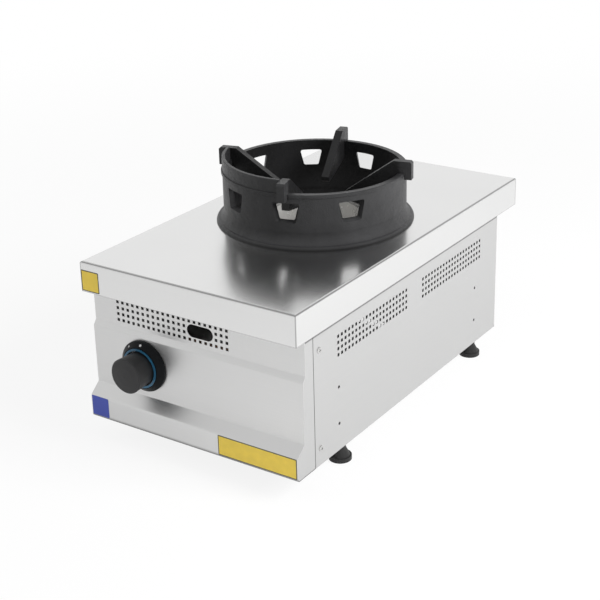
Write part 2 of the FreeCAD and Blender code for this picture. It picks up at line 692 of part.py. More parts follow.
def valve_body():
    """Gas tap: square body with a collar against the fascia, a side inlet and a rear outlet."""
    half = TAP_WIDTH / 2
    body = box(KNOB_X - half, KNOB_X + half, Y_TAP, Y_TAP_REAR, KNOB_HEIGHT - half, KNOB_HEIGHT + half)
    fascia = Vector(KNOB_X, Y_MID + CASE_SHEET, KNOB_HEIGHT)
    collar = rod(TAP_COLLAR_RADIUS, fascia, Vector(KNOB_X, Y_TAP, KNOB_HEIGHT))
    port = Vector(KNOB_X - half - TAP_PORT_LENGTH, Y_TAP_MID, KNOB_HEIGHT)
    inlet = rod(TAP_PORT_RADIUS, port, Vector(KNOB_X - half, Y_TAP_MID, KNOB_HEIGHT))
    bore_end = Vector(KNOB_X, Y_TAP + STEM_IN_TAP + OVERRUN, KNOB_HEIGHT)
    bore = rod(STEM_RADIUS + RUNNING_CLEARANCE, Vector(KNOB_X, Y_MID, KNOB_HEIGHT), bore_end)
    return body.fuse([collar, inlet]).cut(bore).removeSplitter()


def gas_inlet():
    """Threaded inlet nipple through the back panel, with a shoulder inside."""
    shoulder = Vector(INLET_X, Y_BACK - CASE_SHEET, KNOB_HEIGHT)
    step = Vector(INLET_X, Y_BACK + LOCKNUT_HEIGHT, KNOB_HEIGHT)
    mouth = Vector(INLET_X, Y_BACK + INLET_REACH, KNOB_HEIGHT)
    shank = rod(INLET_SHANK_RADIUS, shoulder, step)
    thread = rod(INLET_THREAD_RADIUS, step, mouth)
    inside = hexagon(LOCKNUT_ACROSS, shoulder.sub(Vector(0, INLET_INNER, 0)), shoulder)
    bore = rod(INLET_BORE_RADIUS, shoulder, mouth.add(Vector(0, OVERRUN, 0)))
    return shank.fuse([thread, inside]).cut(bore).removeSplitter()


def inlet_locknut():
    """Nut that clamps the inlet nipple to the back panel."""
    low = Vector(INLET_X, Y_BACK, KNOB_HEIGHT)
    high = Vector(INLET_X, Y_BACK + LOCKNUT_HEIGHT, KNOB_HEIGHT)
    return hexagon(LOCKNUT_ACROSS, low, high).cut(rod(INLET_SHANK_RADIUS + RUNNING_CLEARANCE, low, high))


def manifold_pipe():
    """Pipe from the inlet forward to the tap's side port."""
    corner = Vector(INLET_X, Y_TAP_MID, KNOB_HEIGHT)
    port = Vector(KNOB_X - TAP_WIDTH / 2 - TAP_PORT_LENGTH, Y_TAP_MID, KNOB_HEIGHT)
    start = Vector(INLET_X, Y_BACK - CASE_SHEET - INLET_INNER, KNOB_HEIGHT)
    return tube([start, corner, port], PIPE_RADIUS, PIPE_BEND)


def supply_points():
    """The supply tube's corners, from the tap to the injector."""
    return [
        Vector(KNOB_X, Y_TAP_REAR, KNOB_HEIGHT),
        Vector(KNOB_X, Y_TAP_REAR + SUPPLY_RUN, KNOB_HEIGHT),
        Vector(0, Y_TAP_REAR + SUPPLY_RUN, KNOB_HEIGHT),
        Vector(0, Y_INJECTOR - INJECTOR_LENGTH, KNOB_HEIGHT),
    ]


def supply_tube():
    """Tube from the tap to the injector."""
    return tube(supply_points(), TUBE_RADIUS, TUBE_BEND)


def tube_nuts():
    """Compression nuts at the two ends of the supply tube."""
    points = supply_points()
    nuts = []
    for end, way in ((points[0], 1), (points[-1], -1)):
        far = Vector(end.x, end.y + way * TUBE_NUT_LENGTH, end.z)
        nuts.append(hexagon(TUBE_NUT_ACROSS, end, far).cut(rod(TUBE_RADIUS + SCREW_CLEARANCE, end, far)))
    return Part.makeCompound(nuts)


def injector():
    """Hexagonal injector holder with its nozzle towards the mixer."""
    start = Vector(0, Y_INJECTOR - INJECTOR_LENGTH, KNOB_HEIGHT)
    end = Vector(0, Y_INJECTOR, KNOB_HEIGHT)
    nozzle = Part.makeCone(NOZZLE_BASE_RADIUS, NOZZLE_TIP_RADIUS, INJECTOR_NOZZLE, end, Vector(0, 1, 0))
    return hexagon(INJECTOR_ACROSS, start, end).fuse(nozzle).removeSplitter()


def injector_bracket():
    """Strap that holds the injector under the mixer's mouth."""
    low = KNOB_HEIGHT - MIXER_MOUTH_RADIUS
    half = INJECTOR_STRAP_WIDTH / 2
    y0 = Y_INJECTOR - INJECTOR_LENGTH
    strap = box(-half, half, y0, Y_MIXER + MIXER_MOUTH_LENGTH, low - STAND_SHEET, low)
    post = box(-half / 2, half / 2, y0, Y_INJECTOR, low, KNOB_HEIGHT - INJECTOR_ACROSS / 2)
    return strap.fuse(post).removeSplitter()


def mixer_tube():
    """Gas and air mixing tube with a bell mouth, open at both ends."""
    inner = MIXER_RADIUS - MIXER_WALL
    bell = Y_MIXER + MIXER_MOUTH_LENGTH
    profile = [
        (MIXER_MOUTH_RADIUS - MIXER_WALL, Y_MIXER),
        (MIXER_MOUTH_RADIUS, Y_MIXER),
        (MIXER_RADIUS, bell),
        (MIXER_RADIUS, Y_MIXER_END),
        (inner, Y_MIXER_END),
        (inner, bell),
    ]
    face = outline([Vector(r, y, KNOB_HEIGHT) for r, y in profile])
    return face.revolve(Vector(0, 0, KNOB_HEIGHT), Vector(0, 1, 0), 360)


def burner_body():
    """Cast burner pot: open top, closed bottom, and a socket for the mixing tube."""
    waist = BURNER_TOP - (BURNER_MOUTH_RADIUS - BURNER_RADIUS) * 2
    inner = BURNER_RADIUS - BURNER_WALL
    lip = BURNER_MOUTH_RADIUS - BURNER_WALL
    floor = BURNER_BOTTOM + BURNER_WALL
    profile = [
        (0, BURNER_BOTTOM),
        (BURNER_RADIUS, BURNER_BOTTOM),
        (BURNER_RADIUS, waist),
        (BURNER_MOUTH_RADIUS, BURNER_TOP),
        (lip, BURNER_TOP),
        (inner, waist),
        (inner, floor),
        (0, floor),
    ]
    mouth = Vector(0, BURNER_Y - 2 * BURNER_RADIUS, KNOB_HEIGHT)
    socket = rod(MIXER_RADIUS, mouth, Vector(0, BURNER_Y, KNOB_HEIGHT))
    return turned(profile, 0, BURNER_Y).cut(socket)


def burner_head():
    """Loose burner head: a spigot in the pot's mouth, and a slotted cone."""
    mouth = BURNER_MOUTH_RADIUS - BURNER_WALL - HEAD_CLEARANCE
    low = BURNER_TOP - HEAD_SPIGOT
    taper = HEAD_SPIGOT / 2
    top = BURNER_TOP + HEAD_RISE
    wall = BURNER_WALL
    neck = mouth - taper - wall
    port_low = BURNER_TOP + wall / 2
    port_high = top - wall / 2
    profile = [
        (neck, low),
        (mouth - taper, low),
        (mouth, BURNER_TOP),
        (HEAD_RADIUS, BURNER_TOP),
        (HEAD_RADIUS, port_low),
        (HEAD_CROWN_RADIUS, top),
        (0, top),
        (0, top - wall),
        (HEAD_CROWN_RADIUS - wall, top - wall),
        (neck, BURNER_TOP),
    ]
    head = turned(profile, 0, BURNER_Y)
    half = HEAD_PORT_WIDTH / 2
    cuts = []
    for port in range(HEAD_PORTS):
        slot = box(HEAD_CROWN_RADIUS, HEAD_RADIUS + OVERRUN, -half, half, port_low, port_high)
        slot.rotate(Vector(0, 0, 0), Vector(0, 0, 1), (port + 0.5) * 360 / HEAD_PORTS)
        slot.translate(Vector(0, BURNER_Y, 0))
        cuts.append(slot)
    return head.cut(cuts)


def burner_stand():
    """Folded saddle from the base pan up to the burner pot."""
    low = Z_PAN + CASE_SHEET + STAND_SHEET
    half = STAND_WIDTH / 2
    y0 = BURNER_Y - STAND_DEPTH / 2
    corners = [
        (-half - STAND_FOOT, low),
        (-half, low),
        (-half, BURNER_BOTTOM),
        (half, BURNER_BOTTOM),
        (half, low),
        (half + STAND_FOOT, low),
    ]
    section = folded_sheet([Vector(x, y0, z) for x, z in corners], STAND_SHEET, Vector(0, 1, 0))
    return section.extrude(Vector(0, STAND_DEPTH, 0))


def flame_cup():
    """Pressed cup hung in the top's hole: a tapering wall, a raised rim and a skirt on the top."""
    seat = TOP_HEIGHT + CUP_SHEET
    rim = TOP_HEIGHT + CUP_RIM_RISE
    path = [
        (CUP_MOUTH_RADIUS, TOP_HEIGHT - CUP_DEPTH),
        (CUP_RIM_RADIUS, rim),
        (CUP_RIM_RADIUS + CUP_RIM_WIDTH, rim),
        (CUP_SKIRT_RADIUS, seat),
        (CUP_FOOT_RADIUS, seat),
    ]
    section = folded_sheet([Vector(r, BURNER_Y, z) for r, z in path], CUP_SHEET, Vector(0, 1, 0))
    return section.revolve(Vector(0, BURNER_Y, 0), Vector(0, 0, 1), 360)


def on_ring(shape, degrees):
    """Turns a shape made along +X to its place round the ring's axis, on the top."""
    shape = shape.copy()
    shape.rotate(Vector(0, 0, 0), Vector(0, 0, 1), degrees)
    shape.translate(Vector(0, BURNER_Y, TOP_HEIGHT))
    return shape


def ring_wall():
    """Turned blank of the ring: broad foot, hollow flare, wall and rim band."""
    inner = RING_INNER_RADIUS
    outer = RING_OUTER_RADIUS
    foot = RING_BASE_RADIUS
    bead = RING_BEAD_RADIUS
    chamfer = RIM_CHAMFER
    bead_top = foot - bead
    reach = bead_top - outer
    rise = RING_FLARE_HEIGHT - bead
    slant = math.sqrt(0.5)
    flare = Vector(bead_top - reach * slant, 0, RING_FLARE_HEIGHT - rise * slant)
    nose = Vector(bead_top + bead * slant, 0, bead * slant)
    band = RING_HEIGHT - RIM_HEIGHT
    corners = [
        (outer, RING_FLARE_HEIGHT),
        (outer, band),
        (RIM_RADIUS, band + chamfer),
        (RIM_RADIUS, RING_HEIGHT - chamfer),
        (RIM_RADIUS - chamfer, RING_HEIGHT),
        (inner, RING_HEIGHT),
        (inner, 0),
        (foot, 0),
    ]
    points = [Vector(r, 0, z) for r, z in corners]
    top = Vector(bead_top, 0, bead)
    arcs = [Part.Arc(points[-1], nose, top).toShape(), Part.Arc(top, flare, points[0]).toShape()]
    wire = Part.Wire(Part.makePolygon(points).Edges + arcs)
    return Part.Face(wire).revolve(Vector(0, 0, 0), Vector(0, 0, 1), 360)


def window_section(radius, grow):
    """Trapezoid with rounded corners, across the wall at one radius; grow widens it on every side."""
    top = WINDOW_TOP + grow / 2
    low = WINDOW_TOP - WINDOW_RISE - grow
    half_top = WINDOW_TOP_WIDTH / 2 + grow
    half_low = WINDOW_BOTTOM_WIDTH / 2 + grow
    corners = [(0, top), (half_top, top), (half_low, low), (-half_low, low), (-half_top, top), (0, top)]
    return rounded_path([Vector(radius, y, z) for y, z in corners], [WINDOW_CORNER] * 4)


def wok_ring():
    """Cast ring with seven drafted windows and a raised guard between two of its fingers."""
    ring = ring_wall()
    inside = window_section(RING_INNER_RADIUS - RING_WALL, -WINDOW_DRAFT)
    outside = window_section(RING_OUTER_RADIUS + RING_WALL, 2 * WINDOW_DRAFT)
    window = Part.makeLoft([inside, outside], True, True)
    cuts = []
    for place in range(WINDOW_COUNT):
        cut = window.copy()
        cut.rotate(Vector(0, 0, 0), Vector(0, 0, 1), WINDOW_FIRST + place * WINDOW_PITCH)
        cuts.append(cut)
    ring = ring.cut(cuts)
    ring = ring.fuse(raised_guard()).removeSplitter()
    return on_ring(ring, 0)


def finger_half_angle():
    """Half the angle that a finger takes up at the ring's wall, with its clearance."""
    return math.degrees(math.atan2(FINGER_THICKNESS / 2 + FINGER_CLEARANCE, RING_INNER_RADIUS))


def raised_guard():
    """Higher, thinner wall on the ring's rim between two neighbouring fingers."""
    margin = finger_half_angle()
    sweep = 360 / FINGER_COUNT - 2 * margin
    start = FINGER_FIRST - 360 / FINGER_COUNT + margin
    outer = RING_OUTER_RADIUS
    inner = outer - RAISED_WALL
    corners = [(inner, RING_HEIGHT), (outer, RING_HEIGHT), (outer, RAISED_HEIGHT - RIM_CHAMFER),
               (outer - RIM_CHAMFER, RAISED_HEIGHT), (inner, RAISED_HEIGHT)]
    face = outline([Vector(r, 0, z) for r, z in corners])
    guard = face.revolve(Vector(0, 0, 0), Vector(0, 0, 1), sweep)
    guard.rotate(Vector(0, 0, 0), Vector(0, 0, 1), start)
    return guard


def wok_finger(place):
    """Cast finger hooked over the rim, sloping down to the middle to carry a round wok."""
    inner = RING_INNER_RADIUS - FINGER_CLEARANCE
    outer = RIM_RADIUS + FINGER_CLEARANCE
    hook = RING_HEIGHT - FINGER_HOOK_DEPTH
    edge = FINGER_EDGE
    root = RING_HEIGHT - 3 * FINGER_HOOK_DEPTH
    tip = FINGER_TIP_RADIUS
    corners = [
        (tip, FINGER_TIP_HEIGHT),
        (FINGER_FLAT_RADIUS, FINGER_TOP),
        (FINGER_HOOK_RADIUS - edge, FINGER_TOP),
        (FINGER_HOOK_RADIUS, FINGER_TOP - edge),
        (FINGER_HOOK_RADIUS, hook),
        (outer, hook),
        (outer, RING_HEIGHT),
        (inner, RING_HEIGHT),
        (inner, root),
        (tip + edge, FINGER_TIP_HEIGHT - 3 * edge),
        (tip, FINGER_TIP_HEIGHT - 2 * edge),
    ]
    face = outline([Vector(r, -FINGER_THICKNESS / 2, z) for r, z in corners])
    finger = face.extrude(Vector(0, FINGER_THICKNESS, 0))
    return on_ring(finger, FINGER_FIRST + place * 360 / FINGER_COUNT)


def pilot_bracket():
    """Small plate on the burner pot that holds the pilot and the probe."""
    low = PILOT_BRACKET_HEIGHT
    high = low + STAND_SHEET
    left = PILOT_X - PILOT_RADIUS - PILOT_BRACKET_EDGE
    right = PROBE_X + PROBE_RADIUS + PILOT_BRACKET_EDGE
    front = PILOT_Y - PILOT_RADIUS - PILOT_BRACKET_EDGE
    plate = box(left, right, front, BURNER_Y, low, high)
    cuts = [rod(BURNER_RADIUS, Vector(0, BURNER_Y, low - OVERRUN), Vector(0, BURNER_Y, high + OVERRUN))]
    for x, radius in ((PILOT_X, PILOT_RADIUS), (PROBE_X, PROBE_RADIUS)):
        cuts.append(rod(radius, Vector(x, PILOT_Y, low - OVERRUN), Vector(x, PILOT_Y, high + OVERRUN)))
    return plate.cut(cuts)


def pilot_burner():
    """Pilot: a small barrel with a hooded top turned to the burner."""
    low = PILOT_BRACKET_HEIGHT - PILOT_FOOT
    barrel = rod(PILOT_RADIUS, Vector(PILOT_X, PILOT_Y, low), Vector(PILOT_X, PILOT_Y, PILOT_TOP))
    hood = box(PILOT_X - PILOT_RADIUS, PILOT_X + PILOT_RADIUS, PILOT_Y, PILOT_Y + 2 * PILOT_RADIUS,
               PILOT_TOP - 2 * PILOT_RADIUS, PILOT_TOP - PILOT_RADIUS)
    return barrel.cut(hood)


def pilot_tube():
    """Thin tube from the top of the tap round to the pilot's foot."""
    tap_top = KNOB_HEIGHT + TAP_WIDTH / 2
    y = Y_TAP_MID
    pipe_z = TOP_HEIGHT - PILOT_TUBE_DROP
    points = [Vector(KNOB_X, y, tap_top), Vector(KNOB_X, y, pipe_z),
              Vector(PILOT_TUBE_X, y, pipe_z), Vector(PILOT_TUBE_X, PILOT_Y, pipe_z),
              Vector(PILOT_X, PILOT_Y, pipe_z), Vector(PILOT_X, PILOT_Y, PILOT_BRACKET_HEIGHT - PILOT_FOOT)]
    return tube(points, PILOT_TUBE_RADIUS, SMALL_BEND)


def thermocouple():
    """Flame probe beside the pilot, with its lead back to the tap."""
    tap_top = KNOB_HEIGHT + TAP_WIDTH / 2
    y = Y_TAP_MID - TAP_DEPTH / 4
    x = KNOB_X + TAP_WIDTH / 4
    lead_z = TOP_HEIGHT - PROBE_LEAD_DROP
    points = [Vector(x, y, tap_top), Vector(x, y, lead_z), Vector(PROBE_LEAD_X, y, lead_z),
              Vector(PROBE_LEAD_X, PILOT_Y, lead_z), Vector(PROBE_X, PILOT_Y, lead_z),
              Vector(PROBE_X, PILOT_Y, PILOT_BRACKET_HEIGHT)]
    lead = tube(points, PROBE_LEAD_RADIUS, SMALL_BEND)
    probe = rod(PROBE_RADIUS, points[-1], Vector(PROBE_X, PILOT_Y, PILOT_TOP))
    return lead.fuse(probe).removeSplitter()


def nodes():
    """Every piece of the range by name."""
    cheek = front_cheek_right()
    side = side_panel_right()
    made = {
        "top_plate": top_plate(),
        "front_panel": front_panel(),
        "front_cheek_right": cheek,
        "front_cheek_left": mirrored(cheek),
        "side_panel_right": side,
        "side_panel_left": mirrored(side),
        "back_panel": back_panel(),
        "base_pan": base_pan(),
        "side_screws": side_screws(),
        "back_screws": back_screws(),
        "foot_nuts": foot_nuts(),
        "knob_bezel": knob_bezel(),
        "knob_trim": knob_trim(),
        "knob": knob(),
        "valve_stem": valve_stem(),
        "valve_body": valve_body(),
        "gas_inlet": gas_inlet(),
        "inlet_locknut": inlet_locknut(),
        "manifold_pipe": manifold_pipe(),
        "supply_tube": supply_tube(),
        "tube_nuts": tube_nuts(),
        "injector": injector(),
        "injector_bracket": injector_bracket(),
        "mixer_tube": mixer_tube(),
        "burner_body": burner_body(),
        "burner_head": burner_head(),
        "burner_stand": burner_stand(),
        "flame_cup": flame_cup(),
        "wok_ring": wok_ring(),
        "pilot_bracket": pilot_bracket(),
        "pilot_burner": pilot_burner(),
        "pilot_tube": pilot_tube(),
        "thermocouple": thermocouple(),
    }
    for corner, (x, y) in FOOT_CORNERS.items():
        made["foot_pad_" + corner] = foot_pad(x, y)
        made["foot_stud_" + corner] = foot_stud(x, y)
    for place in range(FINGER_COUNT):
        made["wok_finger_" + str(place + 1)] = wok_finger(place)
    return made


def main():
    os.makedirs("parts", exist_ok=True)
    for name, shape in nodes().items():
        if not shape.isValid() or shape.Volume <= 0:
            raise ValueError(name + " is not a sound solid")
        shape.exportStep(os.path.join("parts", name + ".step"))
        print(name, len(shape.Solids), round(shape.Volume / 1000, 1), "cm3")


main()
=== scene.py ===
"""Wok range: finishes of its sheets, castings and mouldings, with screws, threads, marks and stickers."""

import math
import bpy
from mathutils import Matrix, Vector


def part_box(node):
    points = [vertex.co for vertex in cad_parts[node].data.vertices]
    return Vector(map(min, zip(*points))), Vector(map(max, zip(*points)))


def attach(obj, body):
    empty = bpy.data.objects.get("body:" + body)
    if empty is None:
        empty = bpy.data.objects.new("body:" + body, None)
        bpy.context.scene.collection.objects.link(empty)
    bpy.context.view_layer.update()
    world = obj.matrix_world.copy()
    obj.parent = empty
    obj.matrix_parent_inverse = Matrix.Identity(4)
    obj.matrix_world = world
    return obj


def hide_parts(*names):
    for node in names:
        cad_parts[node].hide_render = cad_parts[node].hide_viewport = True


bl_info = {
    "name": "Wok range",
    "version": (1, 0, 0),
    "blender": (4, 5, 0),
    "location": "View3D > Sidebar > Wok range",
    "description": "Finishes, screws, threads, knob marks and stickers of a countertop wok range",
    "category": "Object",
}

import bmesh
import bpy
from bpy.props import FloatProperty, FloatVectorProperty, PointerProperty
from mathutils import Matrix, Vector

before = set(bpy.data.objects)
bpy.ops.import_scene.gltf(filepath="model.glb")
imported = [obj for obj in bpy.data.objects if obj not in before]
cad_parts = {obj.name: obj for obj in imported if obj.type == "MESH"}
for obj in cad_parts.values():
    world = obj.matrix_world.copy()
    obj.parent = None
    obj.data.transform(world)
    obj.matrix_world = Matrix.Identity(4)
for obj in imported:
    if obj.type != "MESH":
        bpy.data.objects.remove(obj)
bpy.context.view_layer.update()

# Which finish each material slot of the frame takes.
SLOT_FINISHES = {
    "stainless_top": "top_sheet",
    "stainless_case": "case_sheet",
    "stainless_cup": "pressed_cup",
    "screw_steel": "bright_steel",
    "plated_steel": "plated_steel",
    "cast_iron": "black_casting",
    "burner_iron": "grey_casting",
    "black_plastic": "bezel_plastic",
    "knob_plastic": "knob_plastic",
    "blue_plastic": "blue_plastic",
    "foot_plastic": "foot_plastic",
    "brass": "turned_brass",
    "copper": "drawn_copper",
}

# How far noise is stretched: evenly, or into grain that runs across or along the range.
EVEN = (1.0, 1.0, 1.0)
GRAIN_ACROSS = (7.0, 900.0, 900.0)
GRAIN_ALONG = (900.0, 7.0, 900.0)

# Directions, as parts of a unit vector, over which the studio that the steel mirrors changes.
WALL_FADE = (-0.6, 0.5)
CEILING_RISE = (0.50, 0.95)
CEILING_BACK = (-0.30, 0.15)

# The bend of a sheet, where painted shade is laid, is where its face leans: the middle and half-width of
# its normal's upward part.
BEND_LEAN = 0.66
BEND_SPAN = 0.33

# Fineness of round shapes: in a quarter of a turn, and in a whole one.
CORNER_STEPS = 4
TURNING_STEPS = 24

# Nearer than the first, two points are one; nearer than the second, a point is on a surface.
SAME_POINT = 1e-6
ON_SURFACE = 1e-4

SIDE_NODES = ("side_panel", "front_cheek")
WHITE = (1.0, 1.0, 1.0, 1.0)
FILM_WIDTH = 36.0


def length(name, description, default, largest=1.0):
    """A size in metres."""
    return FloatProperty(name=name, description=description, default=default, min=0.0, max=largest,
                         subtype="DISTANCE", unit="LENGTH")


def point(name, description, default):
    """A point in metres."""
    return FloatVectorProperty(name=name, description=description, default=default, size=3,
                               subtype="XYZ", unit="LENGTH")


def angle(name, description, default):
    """An angle, whose default is given in degrees."""
    return FloatProperty(name=name, description=description, default=math.radians(default),
                         min=-math.pi, max=math.pi, subtype="ANGLE", unit="ROTATION")


def watts(name, description, default):
    """A lamp's power in watts."""
    return FloatProperty(name=name, description=description, default=default, min=0.0,
                         subtype="POWER", unit="POWER")


def fraction(name, description, default):
    """A part of a whole, from 0 to 1."""
    return FloatProperty(name=name, description=description, default=default, min=0.0, max=1.0,
                         subtype="FACTOR")


def colour(name, description, default):
    """A colour in linear red, green and blue."""
    return FloatVectorProperty(name=name, description=description, default=default, size=3,
                               min=0.0, max=1.0, subtype="COLOR")


class RangeFinishes(bpy.types.PropertyGroup):
    """Colours of the range's materials."""

    top_steel: colour("Top steel", "Satin stainless of the folded top", (0.755, 0.755, 0.752))
    case_steel: colour("Case steel", "Satin stainless of the case", (0.680, 0.680, 0.677))
    # Painted shade: the side panels take a darker copy of the case steel.
    side_shaded_tone: fraction("Side tone", "How bright the side panels' steel is next to the fascia's", 0.93)
    cup_steel: colour("Cup steel", "Pressed stainless cup round the burner", (0.74, 0.73, 0.71))
    iron: colour("Ring iron", "Blackened casting of the wok ring and fingers", (0.026, 0.026, 0.027))
    burner: colour("Burner iron", "Bare casting of the burner", (0.09, 0.088, 0.085))
    knob: colour("Knob", "Moulded knob", (0.018, 0.018, 0.019))
    bezel: colour("Bezel", "Moulded bezel round the knob", (0.005, 0.006, 0.007))
    trim: colour("Trim ring", "Coloured ring on the bezel", (0.030, 0.150, 0.270))
    feet: colour("Feet", "Moulded feet", (0.020, 0.020, 0.020))
    screws: colour("Screws", "Bright steel of the screws", (0.62, 0.62, 0.61))
    plating: colour("Plating", "Plated steel of the fittings and studs", (0.60, 0.61, 0.62))
    brass: colour("Brass", "Turned brass inside the case", (0.72, 0.56, 0.30))
    copper: colour("Copper", "Drawn copper inside the case", (0.72, 0.42, 0.28))


class RangeShades(bpy.types.PropertyGroup):
    """Painted shade on the sheets' bends, edges and seams, a darker ground line on the lip's corners, and
    painted shade inside the wok ring and along its foot.
    """

    # Painted shade on the top's bends.
    bend_painted_shade: fraction("Bend shade", "How much darker the top's bends are", 0.70)
    corner_width: length("Corner width", "Half-width of the ground line on the lip's corners", 0.0022)
    corner_shade: fraction("Corner shade", "How much darker the ground line is", 0.55)
    # Painted shade along the lip's lower edge.
    lip_width: length("Lip edge", "Height of the dark line on the lip's lower edge", 0.0012)
    lip_edge_painted_shade: fraction("Lip shade", "How much darker the lip's lower edge is", 0.50)
    # Painted shade in the seam at the side panel's front edge.
    seam_gap: length("Seam gap", "From the side panel's edge to the seam's middle", 0.0004)
    seam_width: length("Seam width", "Half-width of the dark line along the seam", 0.0014)
    seam_painted_shade: fraction("Seam shade", "How much darker the seam is", 0.65)
    # Painted shadow on the side panels just under the lip.
    under_lip_shadow_drop: length("Tuck drop", "From the lip's lower edge to the middle of the line under it", 0.0016)
    under_lip_shadow_width: length("Tuck width", "Half-width of the dark line under the lip", 0.0036)
    under_lip_painted_shadow: fraction("Tuck shade", "How much darker the side is under the lip", 0.80)
    # Painted shade along the case's lower edge, by the floor.
    foot_width: length("Foot edge", "Height of the dark line along the case's lower edge", 0.0080)
    foot_shade: fraction("Foot shade", "How much darker the case's lower edge is", 0.85)
    # Painted shade inside the wok ring and on the fingers' inner ends.
    ring_shade_full: length("Full soot", "Radius round the ring's middle that is all sooty", 0.142)
    ring_shade_end: length("No soot", "Radius round the ring's middle where the soot ends", 0.149)
    ring_painted_shade: fraction("Soot shade", "How much darker the soot makes the casting", 0.60)
    # Painted shadow along the wok ring's foot.
    ring_foot_shadow_height: length("Grime height", "How far grime climbs from the ring's foot", 0.0055)
    ring_foot_painted_shadow: fraction("Grime shade", "How much darker the grime makes the casting", 0.85)


class RangeStickers(bpy.types.PropertyGroup):
    """Sizes and colours of the stickers on the front."""

    thickness: length("Thickness", "How far a sticker stands off the sheet", 0.0002)
    corner: length("Corner", "Radius of a sticker's corners", 0.0015)
    border: length("Border", "Width of the dark line round the yellow stickers", 0.0016)
    lip_width: length("Lip width", "Width of the square sticker on the top's lip", 0.035)
    lip_height: length("Lip height", "Height of the square sticker on the top's lip", 0.0345)
    lip_drop: length("Lip drop", "From the top's face down to the lip sticker", 0.0135)
    lip_inset: length("Lip inset", "From the top's left edge to the lip sticker", 0.0008)
    low_width: length("Low left width", "Width of the blue sticker", 0.034)
    low_height: length("Low height", "Height of the stickers on the fascia's low face", 0.0335)
    low_inset: length("Low inset", "From the fascia's end to its stickers", 0.0012)
    low_rise: length("Low rise", "From the fascia's foot to its stickers", 0.0042)
    long_width: length("Long width", "Width of the long sticker", 0.143)
    yellow: colour("Yellow", "Field of the lip sticker and the long sticker", (0.90, 0.65, 0.050))
    blue: colour("Blue", "Field of the small low sticker", (0.028, 0.060, 0.45))
    line: colour("Line", "Border of the yellow stickers", (0.05, 0.045, 0.03))


class RangeScrews(bpy.types.PropertyGroup):
    """The pan-head screws of the side and back panels."""

    dome: length("Dome", "Height of the head's crown above its edge", 0.0007)
    edge_round: length("Edge", "Radius of the head's edge", 0.0005)
    recess_width: length("Recess width", "Across the wings of the cross recess", 0.0052)
    recess_slot: length("Recess slot", "Width of one wing of the cross recess", 0.0011)
    recess_depth: length("Recess depth", "Depth of the cross recess", 0.0012)
    shank_radius: length("Shank", "Radius of the screw's shank", 0.0020)
    tip_radius: length("Tip", "Radius of the shank's end", 0.0017)
    tip_length: length("Tip length", "Length of the shank's taper", 0.001)


class RangeThreads(bpy.types.PropertyGroup):
    """Threads of the gas inlet and of the feet."""

    inlet_radius: length("Inlet radius", "Outer radius of the gas inlet's thread", 0.01048)
    inlet_pitch: length("Inlet pitch", "Pitch of the gas inlet's thread", 0.001814)
    inlet_depth: length("Inlet depth", "Depth of the gas inlet's thread", 0.00090)
    stud_pitch: length("Stud pitch", "Pitch of the feet's thread", 0.00125)
    stud_depth: length("Stud depth", "Depth of the feet's thread", 0.00060)


class RangeMarks(bpy.types.PropertyGroup):
    """Printed marks on the bezel's sloping rim."""

    radius: length("Circle", "Radius of the circle that the marks lie on", 0.0375)
    dot: length("Dot", "Radius of the round mark", 0.0021)
    star: length("Star", "Reach of the star mark's points", 0.0030)
    star_waist: fraction("Star waist", "Reach of the star mark's notches, as a part of the star's", 0.3)
    seat: length("Seat", "How far a mark's foot is off the rim", 0.00006)
    thickness: length("Thickness", "Thickness of the ink", 0.00008)
    off_angle: angle("Off", "Where the round mark stands, clockwise from the top", 2.0)
    light_angle: angle("Light", "Where the star mark stands, clockwise from the top", -36.0)
    ink: colour("Ink", "Colour of the marks", (0.78, 0.78, 0.78))


class RangeStage(bpy.types.PropertyGroup):
    """Floor, light and camera."""

    floor_radius: length("Floor radius", "Radius of the pale floor", 14.0, 50.0)
    floor_colour: colour("Floor", "Colour of the floor", (0.90, 0.90, 0.90))
    floor_glow: fraction("Floor glow", "How much of the near floor shows as plain white", 0.87)
    floor_mirror: fraction("Floor mirror", "How much of the floor the steel mirrors as plain white", 0.40)
    fade_start: length("Fade start", "Where the floor starts to fade to white", 0.7, 50.0)
    fade_end: length("Fade end", "Where the floor is white", 2.8, 50.0)
    key_power: watts("Key", "Power of the soft lamp on the right", 130.0)
    key_place: point("Key place", "Where the lamp on the right hangs", (2.6, 0.3, 1.9))
    key_width: length("Key width", "Side of the lamp on the right", 1.5, 10.0)
    fill_power: watts("Fill", "Power of the soft lamp over the front left", 22.0)
    fill_place: point("Fill place", "Where the lamp over the front left hangs", (-2.3, -1.3, 2.1))
    fill_width: length("Fill width", "Side of the lamp over the front left", 1.8, 10.0)
    lamp_aim: point("Lamp aim", "What both lamps point at", (0.0, 0.0, 0.2))
    sky: fraction("Sky", "Strength of the sky as a light", 0.34)
    front_wall: fraction("Front wall", "How bright the steel mirrors what is before the range", 0.88)
    ceiling_shade: fraction("Ceiling shade", "How much darker the steel mirrors the ceiling", 0.70)
    camera_place: point("Camera", "Where the camera stands", (1.171, -1.725, 1.059))
    camera_yaw: angle("Yaw", "Turn of the camera to the left of straight ahead", 33.25)
    camera_pitch: angle("Pitch", "How far the camera looks down", 20.92)
    camera_roll: angle("Roll", "Lean of the camera", -1.0)
    lens: FloatProperty(name="Lens", description="Focal length on a 36 mm frame", default=80.67,
                        min=10.0, max=300.0, subtype="DISTANCE_CAMERA")
    shift_x: FloatProperty(name="Shift X", description="Sideways shift of the lens", default=-0.05)
    shift_y: FloatProperty(name="Shift Y", description="Upward shift of the lens", default=-0.10)


# ---------------------------------------------------------------- node materials

def add_node(tree, kind, inputs=None, **settings):
    """A shader or geometry node with its settings and its plain input values."""
    node = tree.nodes.new(kind)
    for key, value in settings.items():
        setattr(node, key, value)
    for key, value in (inputs or {}).items():
        node.inputs[key].default_value = value
    return node


